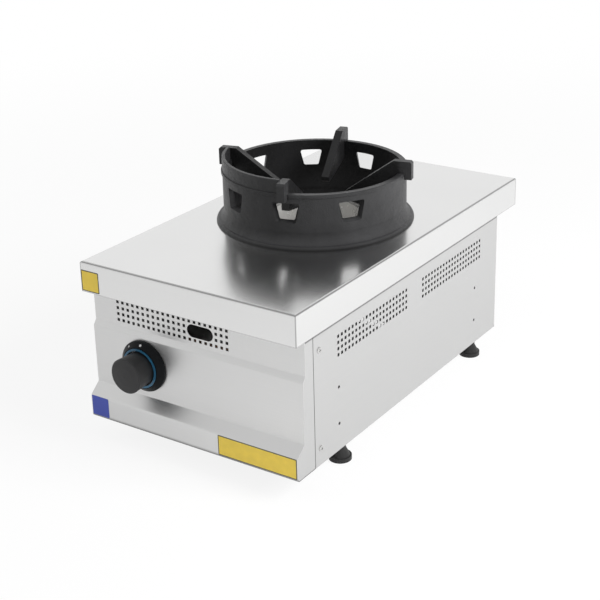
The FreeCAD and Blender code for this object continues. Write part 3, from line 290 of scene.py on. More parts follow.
def new_finish(name, base, metallic, roughness, **sockets):
    """A material whose shader has plain values, and its tree, ready for detail."""
    material = bpy.data.materials.new(name)
    material.use_nodes = True
    shader = material.node_tree.nodes["Principled BSDF"]
    shader.inputs["Base Color"].default_value = (*base, 1.0)
    shader.inputs["Metallic"].default_value = metallic
    shader.inputs["Roughness"].default_value = roughness
    for key, value in sockets.items():
        shader.inputs[key.replace("_", " ").title().replace("Ior", "IOR")].default_value = value
    return material, shader


def object_noise(tree, scale, detail, stretch=EVEN):
    """Noise on object coordinates, drawn out along the axes that have the small numbers."""
    spot = add_node(tree, "ShaderNodeTexCoord")
    mapping = add_node(tree, "ShaderNodeMapping", {"Scale": stretch})
    noise = add_node(tree, "ShaderNodeTexNoise", {"Scale": scale, "Detail": detail, "Roughness": 0.55})
    tree.links.new(spot.outputs["Object"], mapping.inputs["Vector"])
    tree.links.new(mapping.outputs["Vector"], noise.inputs["Vector"])
    return noise.outputs["Fac"]


def spread(tree, value, low, high):
    """Maps noise, which stays near its middle, on a range of values."""
    span = add_node(tree, "ShaderNodeMapRange",
                    {"From Min": 0.3, "From Max": 0.7, "To Min": low, "To Max": high})
    tree.links.new(value, span.inputs["Value"])
    return span.outputs["Result"]


def tint(tree, shader, value, dark, light):
    """Colours the shader between two tones by a noise value."""
    mix = add_node(tree, "ShaderNodeMix", data_type="RGBA")
    mix.inputs["A"].default_value = (*dark, 1.0)
    mix.inputs["B"].default_value = (*light, 1.0)
    tree.links.new(value, mix.inputs["Factor"])
    tree.links.new(mix.outputs["Result"], shader.inputs["Base Color"])


def emboss(tree, shader, layers):
    """Adds bump from (value, height in metres) layers, one on top of the other."""
    under = None
    for value, height in layers:
        bump = add_node(tree, "ShaderNodeBump", {"Strength": 1.0, "Distance": height})
        tree.links.new(value, bump.inputs["Height"])
        if under:
            tree.links.new(under, bump.inputs["Normal"])
        under = bump.outputs["Normal"]
    tree.links.new(under, shader.inputs["Normal"])


def mapped(tree, value, low, high, start, end):
    """Eases a value's range into another one."""
    span = add_node(tree, "ShaderNodeMapRange",
                    {"From Min": low, "From Max": high, "To Min": start, "To Max": end},
                    interpolation_type="SMOOTHSTEP")
    tree.links.new(value, span.inputs["Value"])
    return span.outputs["Result"]


def combined(tree, operation, first, second):
    """One value out of two; each is a socket or a plain number."""
    node = add_node(tree, "ShaderNodeMath", operation=operation)
    for index, value in enumerate((first, second)):
        if isinstance(value, (int, float)):
            node.inputs[index].default_value = value
        else:
            tree.links.new(value, node.inputs[index])
    return node.outputs["Value"]


def object_axes(tree):
    """Sockets X, Y and Z of object coordinates, which are the range's own in metres."""
    spot = add_node(tree, "ShaderNodeTexCoord")
    split = add_node(tree, "ShaderNodeSeparateXYZ")
    tree.links.new(spot.outputs["Object"], split.inputs["Vector"])
    return split.outputs


def off(tree, value, middle):
    """How far a value is from a middle, either way."""
    return combined(tree, "ABSOLUTE", combined(tree, "SUBTRACT", value, middle), 0.0)


def near(tree, value, middle, width):
    """1 where a value is at a middle, and 0 from a width away."""
    return mapped(tree, off(tree, value, middle), 0.0, width, 1.0, 0.0)


def reach_from(tree, at, middle):
    """Distance, on the flat, of object coordinates from an upright axis through a middle."""
    across = combined(tree, "SUBTRACT", at["X"], middle.x)
    along = combined(tree, "SUBTRACT", at["Y"], middle.y)
    squares = [combined(tree, "MULTIPLY", part, part) for part in (across, along)]
    return combined(tree, "SQRT", combined(tree, "ADD", *squares), 0.0)


def darken(tree, shader, mask, shade):
    """Darkens the shader's colour by a shade where the mask is 1."""
    source = shader.inputs["Base Color"].links[0].from_socket
    mix = add_node(tree, "ShaderNodeMix", data_type="RGBA", blend_type="MULTIPLY")
    mix.inputs["B"].default_value = (1.0 - shade, 1.0 - shade, 1.0 - shade, 1.0)
    tree.links.new(mask, mix.inputs["Factor"])
    tree.links.new(source, mix.inputs["A"])
    tree.links.new(mix.outputs["Result"], shader.inputs["Base Color"])


def scaled(base, factor):
    """A colour made lighter or darker."""
    return tuple(min(1.0, part * factor) for part in base)


def satin_sheet(name, base, grain, roughness, polish=0.0):
    """Satin stainless: fine grain along one axis, faint handling marks and a slightly uneven sheet."""
    material, shader = new_finish(name, base, 1.0, roughness, coat_weight=polish, coat_roughness=0.10)
    tree = material.node_tree
    streaks = object_noise(tree, 1.0, 4.0, grain)
    smears = object_noise(tree, 9.0, 5.0)
    waves = object_noise(tree, 3.5, 0.0)
    tint(tree, shader, spread(tree, streaks, 0.0, 1.0), scaled(base, 0.985), scaled(base, 1.01))
    grain_rough = spread(tree, streaks, roughness - 0.02, roughness + 0.02)
    smear_rough = spread(tree, smears, -0.015, 0.02)
    tree.links.new(combined(tree, "ADD", grain_rough, smear_rough), shader.inputs["Roughness"])
    emboss(tree, shader, [(waves, 0.0008), (streaks, 0.000003)])
    return material


def casting(name, base, roughness, sand):
    """Iron from a sand mould: pitted skin, soft lumps and a blackening that lies unevenly."""
    material, shader = new_finish(name, base, 0.0, roughness, specular_ior_level=0.30)
    tree = material.node_tree
    skin = object_noise(tree, sand, 6.0)
    lumps = object_noise(tree, 60.0, 3.0)
    clouds = object_noise(tree, 14.0, 4.0)
    tint(tree, shader, spread(tree, clouds, 0.0, 1.0), scaled(base, 0.78), scaled(base, 1.35))
    tree.links.new(spread(tree, skin, roughness - 0.08, roughness + 0.10), shader.inputs["Roughness"])
    emboss(tree, shader, [(lumps, 0.0012), (skin, 0.0005)])
    return material


def moulding(name, base, roughness, texture, height, gloss):
    """Moulded plastic with a fine spark-eroded texture."""
    material, shader = new_finish(name, base, 0.0, roughness, specular_ior_level=gloss)
    tree = material.node_tree
    skin = object_noise(tree, texture, 2.0)
    clouds = object_noise(tree, 40.0, 2.0)
    tint(tree, shader, spread(tree, clouds, 0.0, 1.0), scaled(base, 0.9), scaled(base, 1.12))
    tree.links.new(spread(tree, skin, roughness - 0.05, roughness + 0.06), shader.inputs["Roughness"])
    emboss(tree, shader, [(skin, height)])
    return material


def bare_metal(name, base, roughness, stain, metallic=1.0):
    """Turned, drawn or plated metal with a faint tarnish."""
    material, shader = new_finish(name, base, metallic, roughness)
    tree = material.node_tree
    clouds = object_noise(tree, 45.0, 4.0)
    dull, bright = scaled(base, 1.0 - stain), scaled(base, 1.0 + stain / 2)
    tint(tree, shader, spread(tree, clouds, 0.0, 1.0), dull, bright)
    tree.links.new(spread(tree, clouds, roughness - 0.06, roughness + 0.08), shader.inputs["Roughness"])
    emboss(tree, shader, [(clouds, 0.0001)])
    return material


def print_film(name, base):
    """Printed vinyl: a smooth film with a faint orange-peel and uneven ink."""
    material, shader = new_finish(name, base, 0.0, 0.32, coat_weight=0.25, coat_roughness=0.2)
    tree = material.node_tree
    peel = object_noise(tree, 700.0, 1.0)
    ink = object_noise(tree, 90.0, 3.0)
    tint(tree, shader, spread(tree, ink, 0.0, 1.0), scaled(base, 0.95), scaled(base, 1.04))
    tree.links.new(spread(tree, peel, 0.28, 0.38), shader.inputs["Roughness"])
    emboss(tree, shader, [(peel, 0.00003)])
    return material


def make_finishes(tones):
    """All finishes of the frame's slots, by the names in SLOT_FINISHES, and the side panels' own, whose
    steel is a darker copy of the case's as painted shade.
    """
    # Painted shade: the side panels' steel is a darker copy of the case steel.
    shaded_side_steel = scaled(tones.case_steel, tones.side_shaded_tone)
    return {
        "top_sheet": satin_sheet("top_sheet", tones.top_steel, GRAIN_ALONG, 0.23, polish=0.35),
        "case_sheet": satin_sheet("case_sheet", tones.case_steel, GRAIN_ACROSS, 0.40),
        "side_sheet": satin_sheet("side_sheet", shaded_side_steel, GRAIN_ALONG, 0.30),
        "pressed_cup": bare_metal("pressed_cup", tones.cup_steel, 0.22, stain=0.05, metallic=0.55),
        "bright_steel": bare_metal("bright_steel", tones.screws, 0.24, stain=0.06),
        "plated_steel": bare_metal("plated_steel", tones.plating, 0.36, stain=0.10),
        "black_casting": casting("black_casting", tones.iron, 0.38, sand=520.0),
        "grey_casting": casting("grey_casting", tones.burner, 0.62, sand=420.0),
        "bezel_plastic": moulding("bezel_plastic", tones.bezel, 0.34, 1500.0, height=2e-5, gloss=0.10),
        "knob_plastic": moulding("knob_plastic", tones.knob, 0.46, 1800.0, height=4e-5, gloss=0.40),
        "blue_plastic": moulding("blue_plastic", tones.trim, 0.30, 1500.0, height=2e-5, gloss=0.50),
        "foot_plastic": moulding("foot_plastic", tones.feet, 0.50, 900.0, height=5e-5, gloss=0.30),
        "turned_brass": bare_metal("turned_brass", tones.brass, 0.28, stain=0.12),
        "drawn_copper": bare_metal("drawn_copper", tones.copper, 0.30, stain=0.14),
    }


def shading_of(material):
    """A finish's tree, its shader and its object coordinates, to lay darker places on."""
    tree = material.node_tree
    return tree, tree.nodes["Principled BSDF"], object_axes(tree)


def draw_ground_lines_and_shade(finishes, sizes):
    """Painted shade on the top's bends and lip edge, in the side's seam, under the lip and along the case's
    lower edge, and a darker ground line on the lip's corners.
    """
    top_low, top_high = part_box("top_plate")
    middle = (top_low + top_high) / 2

    tree, shader, at = shading_of(finishes["top_sheet"])
    depth = off(tree, at["Y"], middle.y)
    side = near(tree, off(tree, at["X"], 0.0), top_high.x, sizes.corner_width)
    front = near(tree, depth, top_high.y - middle.y, sizes.corner_width)
    darken(tree, shader, combined(tree, "MULTIPLY", side, front), sizes.corner_shade)
    # Painted shade: the top's bends, found by how far their faces lean, are made darker.
    face = add_node(tree, "ShaderNodeNewGeometry")
    lean = add_node(tree, "ShaderNodeSeparateXYZ")
    tree.links.new(face.outputs["True Normal"], lean.inputs["Vector"])
    darken(tree, shader, near(tree, lean.outputs["Z"], BEND_LEAN, BEND_SPAN), sizes.bend_painted_shade)
    # Painted shade along the lip's lower edge.
    darken(tree, shader, near(tree, at["Z"], top_low.z, sizes.lip_width), sizes.lip_edge_painted_shade)

    tree, shader, at = shading_of(finishes["side_sheet"])
    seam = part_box("side_panel_right")[0].y - sizes.seam_gap
    under_lip_shadow_line = top_low.z - sizes.under_lip_shadow_drop
    # Painted shade in the seam at the side panel's front edge.
    darken(tree, shader, near(tree, at["Y"], seam, sizes.seam_width), sizes.seam_painted_shade)
    # Painted shadow on the side panels just under the lip.
    darken(tree, shader, near(tree, at["Z"], under_lip_shadow_line, sizes.under_lip_shadow_width), sizes.under_lip_painted_shadow)

    tree, shader, at = shading_of(finishes["case_sheet"])
    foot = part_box("front_panel")[0].z
    # Painted shade along the case's lower edge, by the floor.
    darken(tree, shader, near(tree, at["Z"], foot, sizes.foot_width), sizes.foot_shade)


def lay_ring_shade(finishes, sizes):
    """Painted shade on the ring's inside and on the fingers' inner ends, and a painted shadow along the
    ring's foot.
    """
    low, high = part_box("wok_ring")
    tree, shader, at = shading_of(finishes["black_casting"])
    reach = reach_from(tree, at, (low + high) / 2)
    inside = mapped(tree, reach, sizes.ring_shade_full, sizes.ring_shade_end, 1.0, 0.0)
    # Painted shade inside the ring.
    darken(tree, shader, inside, sizes.ring_painted_shade)
    # Painted shadow along the ring's foot, where it stands on the top.
    darken(tree, shader, near(tree, at["Z"], low.z, sizes.ring_foot_shadow_height), sizes.ring_foot_painted_shadow)


# ---------------------------------------------------------------- meshes

def mesh_object(name, mesh, *materials):
    """Puts a mesh in the scene as a piece that sits at the origin."""
    piece = bpy.data.objects.new(name, mesh)
    bpy.context.collection.objects.link(piece)
    for material in materials:
        mesh.materials.append(material)
    return piece


def to_mesh(name, shape):
    """Turns a shape's faces outwards and makes it a mesh, whose parts are in the same order each run."""
    bmesh.ops.recalc_face_normals(shape, faces=shape.faces)
    verts = sorted(shape.verts, key=lambda vert: tuple(vert.co))
    index_of = {vert: index for index, vert in enumerate(verts)}
    faces = []
    for face in shape.faces:
        corners = [index_of[vert] for vert in face.verts]
        first = corners.index(min(corners))
        faces.append((corners[first:] + corners[:first], face.material_index))
    faces.sort()
    mesh = bpy.data.meshes.new(name)
    mesh.from_pydata([vert.co for vert in verts], [], [corners for corners, slot in faces])
    mesh.polygons.foreach_set("material_index", [slot for corners, slot in faces])
    shape.free()
    return mesh


def turned_mesh(name, profile, steps):
    """Revolves a profile of (radius, height) round Z, closed where the radius is 0."""
    shape = bmesh.new()
    points = [shape.verts.new((radius, 0.0, height)) for radius, height in profile]
    edges = [shape.edges.new(pair) for pair in zip(points, points[1:])]
    bmesh.ops.spin(shape, geom=points + edges, cent=(0, 0, 0), axis=(0, 0, 1), angle=2 * math.pi,
                   steps=steps, use_merge=True)
    bmesh.ops.remove_doubles(shape, verts=shape.verts, dist=SAME_POINT)
    return to_mesh(name, shape)


def islands(node):
    """Lowest and highest corners of each separate solid of a CAD node."""
    shape = bmesh.new()
    shape.from_mesh(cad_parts[node].data)
    bmesh.ops.remove_doubles(shape, verts=shape.verts, dist=SAME_POINT)
    waiting = set(shape.verts)
    boxes = []
    for start in shape.verts:
        if start not in waiting:
            continue
        waiting.remove(start)
        reach = [start]
        found = []
        while reach:
            vert = reach.pop()
            found.append(vert.co.copy())
            for edge in vert.link_edges:
                other = edge.other_vert(vert)
                if other in waiting:
                    waiting.remove(other)
                    reach.append(other)
        low = Vector([min(co[i] for co in found) for i in range(3)])
        high = Vector([max(co[i] for co in found) for i in range(3)])
        boxes.append((low, high))
    shape.free()
    return boxes


def evaluated_mesh(name, piece):
    """Plain mesh of what a piece's modifiers make."""
    graph = bpy.context.evaluated_depsgraph_get()
    mesh = bpy.data.meshes.new_from_object(piece.evaluated_get(graph), depsgraph=graph)
    mesh.name = name
    return mesh


def node_tree(name, **sockets):
    """A geometry tree with its input and output, and a named input for each size and the material."""
    sockets["Material"] = "NodeSocketMaterial"
    tree = bpy.data.node_groups.new(name, "GeometryNodeTree")
    tree.interface.new_socket("Geometry", in_out="INPUT", socket_type="NodeSocketGeometry")
    for label, kind in sockets.items():
        tree.interface.new_socket(label, in_out="INPUT", socket_type=kind)
    tree.interface.new_socket("Geometry", in_out="OUTPUT", socket_type="NodeSocketGeometry")
    return tree, add_node(tree, "NodeGroupInput"), add_node(tree, "NodeGroupOutput")


def run_tree(name, base_mesh, tree, material, **values):
    """Runs a geometry tree on a mesh with the given inputs, and returns the result as a plain piece."""
    values["Material"] = material
    carrier = mesh_object(name, base_mesh)
    modifier = carrier.modifiers.new(tree.name, "NODES")
    modifier.node_group = tree
    for item in tree.interface.items_tree:
        if item.in_out == "INPUT" and item.name in values:
            modifier[item.identifier] = values[item.name]
    result = evaluated_mesh(name, carrier)
    carrier.modifiers.clear()
    carrier.data = result
    if not result.materials:
        result.materials.append(material)
    return carrier


def wire(tree, *links):
    """Links pairs of an output and an input."""
    for source, target in links:
        tree.links.new(source, target)


def finish_tree(tree, geometry, entry, leave):
    """Ends a tree in Realize Instances and Set Material, with the material from its input."""
    real = add_node(tree, "GeometryNodeRealizeInstances")
    paint = add_node(tree, "GeometryNodeSetMaterial")
    wire(tree,
         (geometry, real.inputs["Geometry"]),
         (real.outputs["Geometry"], paint.inputs["Geometry"]),
         (entry.outputs["Material"], paint.inputs["Material"]),
         (paint.outputs["Geometry"], leave.inputs["Geometry"]))


# ---------------------------------------------------------------- pieces

def sticker(name, centre, width, height, sizes, field, line=None):
    """Thin sheet with rounded corners on a front face, with a border where a line finish is given."""
    corner = sizes.corner
    half_width, half_height = width / 2 - corner, height / 2 - corner
    shape = bmesh.new()
    ring = []
    for quarter, (side, end) in enumerate(((1, 1), (-1, 1), (-1, -1), (1, -1))):
        for step in range(CORNER_STEPS + 1):
            turn = math.pi / 2 * (quarter + step / CORNER_STEPS)
            x = centre[0] + side * half_width + corner * math.cos(turn)
            z = centre[2] + end * half_height + corner * math.sin(turn)
            ring.append(shape.verts.new((x, centre[1], z)))
    face = shape.faces.new(ring)
    face.normal_update()
    if line:
        rim = bmesh.ops.inset_individual(shape, faces=[face], thickness=sizes.border)
        for part in rim["faces"]:
            part.material_index = 1
    raised = bmesh.ops.extrude_face_region(shape, geom=list(shape.faces))
    moved = [part for part in raised["geom"] if isinstance(part, bmesh.types.BMVert)]
    bmesh.ops.translate(shape, verts=moved, vec=(0, -sizes.thickness, 0))
    finishes = (field, line) if line else (field,)
    piece = mesh_object(name, to_mesh(name, shape), *finishes)
    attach(piece, "case")
    return piece


def make_stickers(sizes):
    """The square one on the top's lip, and a small and a long one on the fascia's low face."""
    yellow = print_film("yellow_film", sizes.yellow)
    blue = print_film("blue_film", sizes.blue)
    line = print_film("line_print", sizes.line)
    top_low, top_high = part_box("top_plate")
    face_low, face_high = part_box("front_panel")
    low_z = face_low[2] + sizes.low_height / 2 + sizes.low_rise
    lip = (top_low[0] + sizes.lip_inset + sizes.lip_width / 2, top_low[1],
           top_high[2] - sizes.lip_drop - sizes.lip_height / 2)
    left = (face_low[0] + sizes.low_inset + sizes.low_width / 2, face_low[1], low_z)
    right = (face_high[0] - sizes.low_inset - sizes.long_width / 2, face_low[1], low_z)
    sticker("sticker_lip", lip, sizes.lip_width, sizes.lip_height, sizes, yellow, line)
    sticker("sticker_low_left", left, sizes.low_width, sizes.low_height, sizes, blue)
    sticker("sticker_low_right", right, sizes.long_width, sizes.low_height, sizes, yellow, line)


def screw_head(sizes, radius, height, shank_length):
    """Pan head with a crowned top, a cross recess and its shank, standing on Z = 0."""
    edge = sizes.edge_round
    rim = height - sizes.dome
    profile = [
        (0.0, -shank_length),
        (sizes.tip_radius, -shank_length),
        (sizes.shank_radius, sizes.tip_length - shank_length),
        (sizes.shank_radius, 0.0),
        (radius, 0.0),
        (radius, rim - edge),
        (radius - 0.3 * edge, rim - 0.3 * edge),
        (radius - edge, rim),
        (0.6 * radius, height - 0.35 * sizes.dome),
        (0.3 * radius, height - 0.08 * sizes.dome),
        (0.0, height),
    ]
    head = mesh_object("screw_head", turned_mesh("screw_head", profile, TURNING_STEPS))
    wings = bmesh.new()
    wing = Matrix.Diagonal((sizes.recess_width, sizes.recess_slot, 2 * sizes.recess_depth, 1.0))
    for turn in (0.0, math.pi / 2):
        spot = Matrix.Rotation(turn, 4, "Z") @ Matrix.Translation((0, 0, height)) @ wing
        bmesh.ops.create_cube(wings, size=1.0, matrix=spot)
    cutter = mesh_object("screw_recess", to_mesh("screw_recess", wings))
    cut = head.modifiers.new("recess", "BOOLEAN")
    cut.operation = "DIFFERENCE"
    cut.use_self = True
    cut.object = cutter
    result = evaluated_mesh("screw_head", head)
    head.modifiers.clear()
    head.data = result
    bpy.data.objects.remove(cutter)
    return head


def screw_tree(name):
    """A geometry tree that sets a screw on each point, with its head's top there, the way it faces."""
    tree, entry, leave = node_tree(name, Head="NodeSocketObject", Height="NodeSocketFloat")
    points = add_node(tree, "GeometryNodeMeshToPoints")
    way = add_node(tree, "GeometryNodeInputNamedAttribute", {"Name": "facing"}, data_type="FLOAT_VECTOR")
    aim = add_node(tree, "FunctionNodeAlignRotationToVector", axis="Z")
    info = add_node(tree, "GeometryNodeObjectInfo")
    down = add_node(tree, "ShaderNodeCombineXYZ")
    put = add_node(tree, "GeometryNodeInstanceOnPoints")
    lower = add_node(tree, "GeometryNodeTranslateInstances")
    wire(tree,
         (entry.outputs["Geometry"], points.inputs["Mesh"]),
         (points.outputs["Points"], put.inputs["Points"]),
         (way.outputs["Attribute"], aim.inputs["Vector"]),
         (aim.outputs["Rotation"], put.inputs["Rotation"]),
         (entry.outputs["Head"], info.inputs["Object"]),
         (info.outputs["Geometry"], put.inputs["Instance"]),
         (combined(tree, "MULTIPLY", entry.outputs["Height"], -1.0), down.inputs["Z"]),
         (put.outputs["Instances"], lower.inputs["Instances"]),
         (down.outputs["Vector"], lower.inputs["Translation"]))
    finish_tree(tree, lower.outputs["Instances"], entry, leave)
    return tree


def screws_on(node, panel, axis, sizes, steel):
    """Detailed screws in place of a node's plain ones, one on each of its solids.

    They stand on the panel, and their heads point away from the range's middle along the axis.
    """
    boxes = islands(node)
    seats = bmesh.new()
    for low, high in boxes:
        seat = (low + high) / 2
        seat[axis] = high[axis] if seat[axis] > 0 else low[axis]
        seats.verts.new(seat)
    mesh = to_mesh(node + "_seats", seats)
    facing = mesh.attributes.new("facing", "FLOAT_VECTOR", "POINT")
    for seat, way in zip(mesh.vertices, facing.data):
        way.vector[axis] = math.copysign(1.0, seat.co[axis])
    low, high = boxes[0]
    head_width, _, whole_length = sorted(high - low)
    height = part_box(node)[1][axis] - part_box(panel)[1][axis]
    head = screw_head(sizes, head_width / 2, height, whole_length - height)
    piece = run_tree(node + "_detailed", mesh, screw_tree(node + "_tree"), steel, Head=head, Height=height)
    bpy.data.objects.remove(head)
    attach(piece, "case")
    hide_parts(node)


def thread_tree():
    """A geometry tree that winds a sharp ridge round Z and joins it to the bar that comes in."""
    tree, entry, leave = node_tree(
        "wound_thread", Radius="NodeSocketFloat", Start="NodeSocketFloat", Length="NodeSocketFloat",
        Turns="NodeSocketFloat", Depth="NodeSocketFloat")
    helix = add_node(tree, "GeometryNodeCurveSpiral", {"Resolution": TURNING_STEPS})
    ridge = add_node(tree, "GeometryNodeCurvePrimitiveCircle", {"Resolution": 3})
    sweep = add_node(tree, "GeometryNodeCurveToMesh", {"Fill Caps": True})
    lift = add_node(tree, "GeometryNodeTransform")
    offset = add_node(tree, "ShaderNodeCombineXYZ")
    join = add_node(tree, "GeometryNodeJoinGeometry")
    wire(tree,
         (entry.outputs["Radius"], helix.inputs["Start Radius"]),
         (entry.outputs["Radius"], helix.inputs["End Radius"]),
         (entry.outputs["Length"], helix.inputs["Height"]),
         (entry.outputs["Turns"], helix.inputs["Rotations"]),
         (entry.outputs["Depth"], ridge.inputs["Radius"]),
         (entry.outputs["Start"], offset.inputs["Z"]),
         (helix.outputs["Curve"], sweep.inputs["Curve"]),
         (ridge.outputs["Curve"], sweep.inputs["Profile Curve"]),
         (sweep.outputs["Mesh"], lift.inputs["Geometry"]),
         (offset.outputs["Vector"], lift.inputs["Translation"]),
         (lift.outputs["Geometry"], join.inputs["Geometry"]),
         (entry.outputs["Geometry"], join.inputs["Geometry"]))
    finish_tree(tree, join.outputs["Geometry"], entry, leave)
    return tree


def threaded(node, body, place, radius, length_on, pitch, depth, tree, steel):
    """Replaces a node by a copy whose plain bar is turned down to the thread's core, with the ridge on it.

    The place is a matrix from the bar's own axis, along Z, on which the thread starts at 0.
    """
    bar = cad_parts[node].data.copy()
    bar.transform(place.inverted())
    core = radius - depth
    for vert in bar.vertices:
        reach = math.hypot(vert.co.x, vert.co.y)
        if abs(reach - radius) < ON_SURFACE:
            vert.co.x *= core / reach
            vert.co.y *= core / reach
    # The ridge is a triangle; one of this radius is as high as the thread is deep.
    ridge = depth * 2 / 3
    piece = run_tree(node + "_threaded", bar, tree, steel, Radius=radius - ridge, Start=ridge,
                     Length=length_on - 2 * ridge, Turns=length_on / pitch, Depth=ridge)
    piece.data.transform(place)
    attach(piece, body)
    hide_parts(node)


def make_threads(sizes, steel):
    """Threads on the studs of the feet and on the gas inlet's nipple."""
    tree = thread_tree()
    for corner in ("front_left", "front_right", "rear_left", "rear_right"):
        low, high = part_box("foot_stud_" + corner)
        middle = (low + high) / 2
        place = Matrix.Translation((middle.x, middle.y, low.z))
        threaded("foot_stud_" + corner, "foot_" + corner, place, (high.x - low.x) / 2, high.z - low.z,
                 sizes.stud_pitch, sizes.stud_depth, tree, steel)
    low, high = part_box("gas_inlet")
    middle = (low + high) / 2
    nut_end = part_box("inlet_locknut")[1].y
    place = Matrix.Translation((middle.x, nut_end, middle.z)) @ Matrix.Rotation(-math.pi / 2, 4, "X")
    threaded("gas_inlet", "case", place, sizes.inlet_radius, high.y - nut_end,
             sizes.inlet_pitch, sizes.inlet_depth, tree, steel)


def outline(reaches):
    """Corners (x, z) at the given distances from the middle, an even turn apart."""
    turn = 2 * math.pi / len(reaches)
    return [(reach * math.cos(k * turn), reach * math.sin(k * turn)) for k, reach in enumerate(reaches)]


def make_marks(sizes):
    """A round mark and a four-pointed mark, printed on the bezel's sloping rim."""
    ink = print_film("mark_ink", sizes.ink)
    low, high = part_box("knob_bezel")
    centre = (low + high) / 2
    outer = (high.x - low.x) / 2
    face_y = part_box("knob_trim")[1].y
    # The rim's slope runs from the outer edge, a third of the way up, to the flat face under the trim ring.
    rise = high.y - face_y
    edge_y = high.y - rise / 3
    inner = outer - rise * 2 / 3
    inward = (outer - sizes.radius) / (outer - inner)
    mark_y = edge_y + (face_y - edge_y) * inward
    lean = math.atan2(edge_y - face_y, outer - inner)
    marks = (
        ("bezel_mark_off", sizes.off_angle, outline([sizes.dot] * TURNING_STEPS)),
        ("bezel_mark_light", sizes.light_angle, outline([sizes.star, sizes.star_waist * sizes.star] * 4)),
    )
    for name, turn, corners in marks:
        shape = bmesh.new()
        face = shape.faces.new([shape.verts.new((x, -sizes.seat, z)) for x, z in corners])
        raised = bmesh.ops.extrude_face_region(shape, geom=[face])
        moved = [part for part in raised["geom"] if isinstance(part, bmesh.types.BMVert)]
        bmesh.ops.translate(shape, verts=moved, vec=(0, -sizes.thickness, 0))
        spot = Matrix.Translation((centre.x, 0, centre.z)) @ Matrix.Rotation(turn, 4, "Y") \
            @ Matrix.Translation((0, mark_y, sizes.radius)) @ Matrix.Rotation(-lean, 4, "X")
        bmesh.ops.transform(shape, matrix=spot, verts=shape.verts)
        piece = mesh_object(name, to_mesh(name, shape), ink)
        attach(piece, "case")


# ---------------------------------------------------------------- stage

def soft_lamp(name, place, aim, width, power):
    """Square lamp that lights the scene but isn't mirrored in the steel."""
    data = bpy.data.lights.new(name, "AREA")
    data.size = width
    data.energy = power
    lamp = bpy.data.objects.new(name, data)
    bpy.context.collection.objects.link(lamp)
    lamp.location = place
    lamp.rotation_euler = (aim - place).to_track_quat("-Z", "Y").to_euler()
    lamp.visible_glossy = False


def make_floor(sizes):
    """Pale floor, near white to the camera and white far off, that keeps a soft shadow under the range."""
    shape = bmesh.new()
    bmesh.ops.create_circle(shape, cap_ends=True, segments=96, radius=sizes.floor_radius)
    floor = mesh_object("floor", to_mesh("floor", shape))
    material, shader = new_finish("floor_paper", sizes.floor_colour, 0.0, 0.9)
    tree = material.node_tree
    paper = object_noise(tree, 2.0, 2.0)
    tint(tree, shader, spread(tree, paper, 0.0, 1.0), scaled(sizes.floor_colour, 0.99), sizes.floor_colour)
    reach = reach_from(tree, object_axes(tree), Vector((0.0, 0.0, 0.0)))
    fade = mapped(tree, reach, sizes.fade_start, sizes.fade_end, sizes.floor_glow, 1.0)
    seen = add_node(tree, "ShaderNodeLightPath")
    direct = combined(tree, "MULTIPLY", seen.outputs["Is Camera Ray"], fade)
    mirrored = combined(tree, "MULTIPLY", seen.outputs["Is Glossy Ray"], sizes.floor_mirror)
    glow = add_node(tree, "ShaderNodeEmission", {"Color": WHITE, "Strength": 1.0})
    mix = add_node(tree, "ShaderNodeMixShader")
    wire(tree,
         (combined(tree, "ADD", direct, mirrored), mix.inputs["Fac"]),
         (shader.outputs["BSDF"], mix.inputs[1]),
         (glow.outputs["Emission"], mix.inputs[2]),
         (mix.outputs["Shader"], tree.nodes["Material Output"].inputs["Surface"]))
    floor.data.materials.append(material)


def make_world(sizes):
    """White to the camera, a soft sky as light, and a studio with a dark ceiling that the steel mirrors."""
    world = bpy.data.worlds.new("studio")
    bpy.context.scene.world = world
    world.use_nodes = True
    tree = world.node_tree
    back = tree.nodes["Background"]
    way = add_node(tree, "ShaderNodeTexCoord")
    split = add_node(tree, "ShaderNodeSeparateXYZ")
    tree.links.new(way.outputs["Generated"], split.inputs["Vector"])
    wall = mapped(tree, split.outputs["Y"], *WALL_FADE, sizes.front_wall, 1.0)
    overhead = mapped(tree, split.outputs["Z"], *CEILING_RISE, 0.0, 1.0)
    behind = mapped(tree, split.outputs["Y"], *CEILING_BACK, 0.0, sizes.ceiling_shade)
    mirrored = combined(tree, "SUBTRACT", wall, combined(tree, "MULTIPLY", overhead, behind))
    seen = add_node(tree, "ShaderNodeLightPath")
    glossy = seen.outputs["Is Glossy Ray"]
    sky = combined(tree, "SUBTRACT", sizes.sky, combined(tree, "MULTIPLY", glossy, sizes.sky))
    mirror = combined(tree, "MULTIPLY", glossy, mirrored)
    light = combined(tree, "ADD", sky, mirror)
    strength = combined(tree, "MAXIMUM", light, seen.outputs["Is Camera Ray"])
    tree.links.new(strength, back.inputs["Strength"])
    back.inputs["Color"].default_value = WHITE


def make_camera(sizes):
    """Camera that frames the range from its front right."""
    data = bpy.data.cameras.new("camera")
    data.sensor_width = FILM_WIDTH
    data.lens = sizes.lens
    data.shift_x = sizes.shift_x
    data.shift_y = sizes.shift_y
    data.clip_end = 100.0
    camera = bpy.data.objects.new("camera", data)
    bpy.context.collection.objects.link(camera)
    turn = Matrix.Rotation(sizes.camera_yaw, 4, "Z")
    turn = turn @ Matrix.Rotation(math.pi / 2 - sizes.camera_pitch, 4, "X")
    turn = turn @ Matrix.Rotation(sizes.camera_roll, 4, "Z")
    camera.matrix_world = Matrix.Translation(sizes.camera_place) @ turn
    bpy.context.scene.camera = camera


# ---------------------------------------------------------------- operators

class RangeOperator:
    """What the operators share."""

    bl_options = {"REGISTER", "UNDO"}


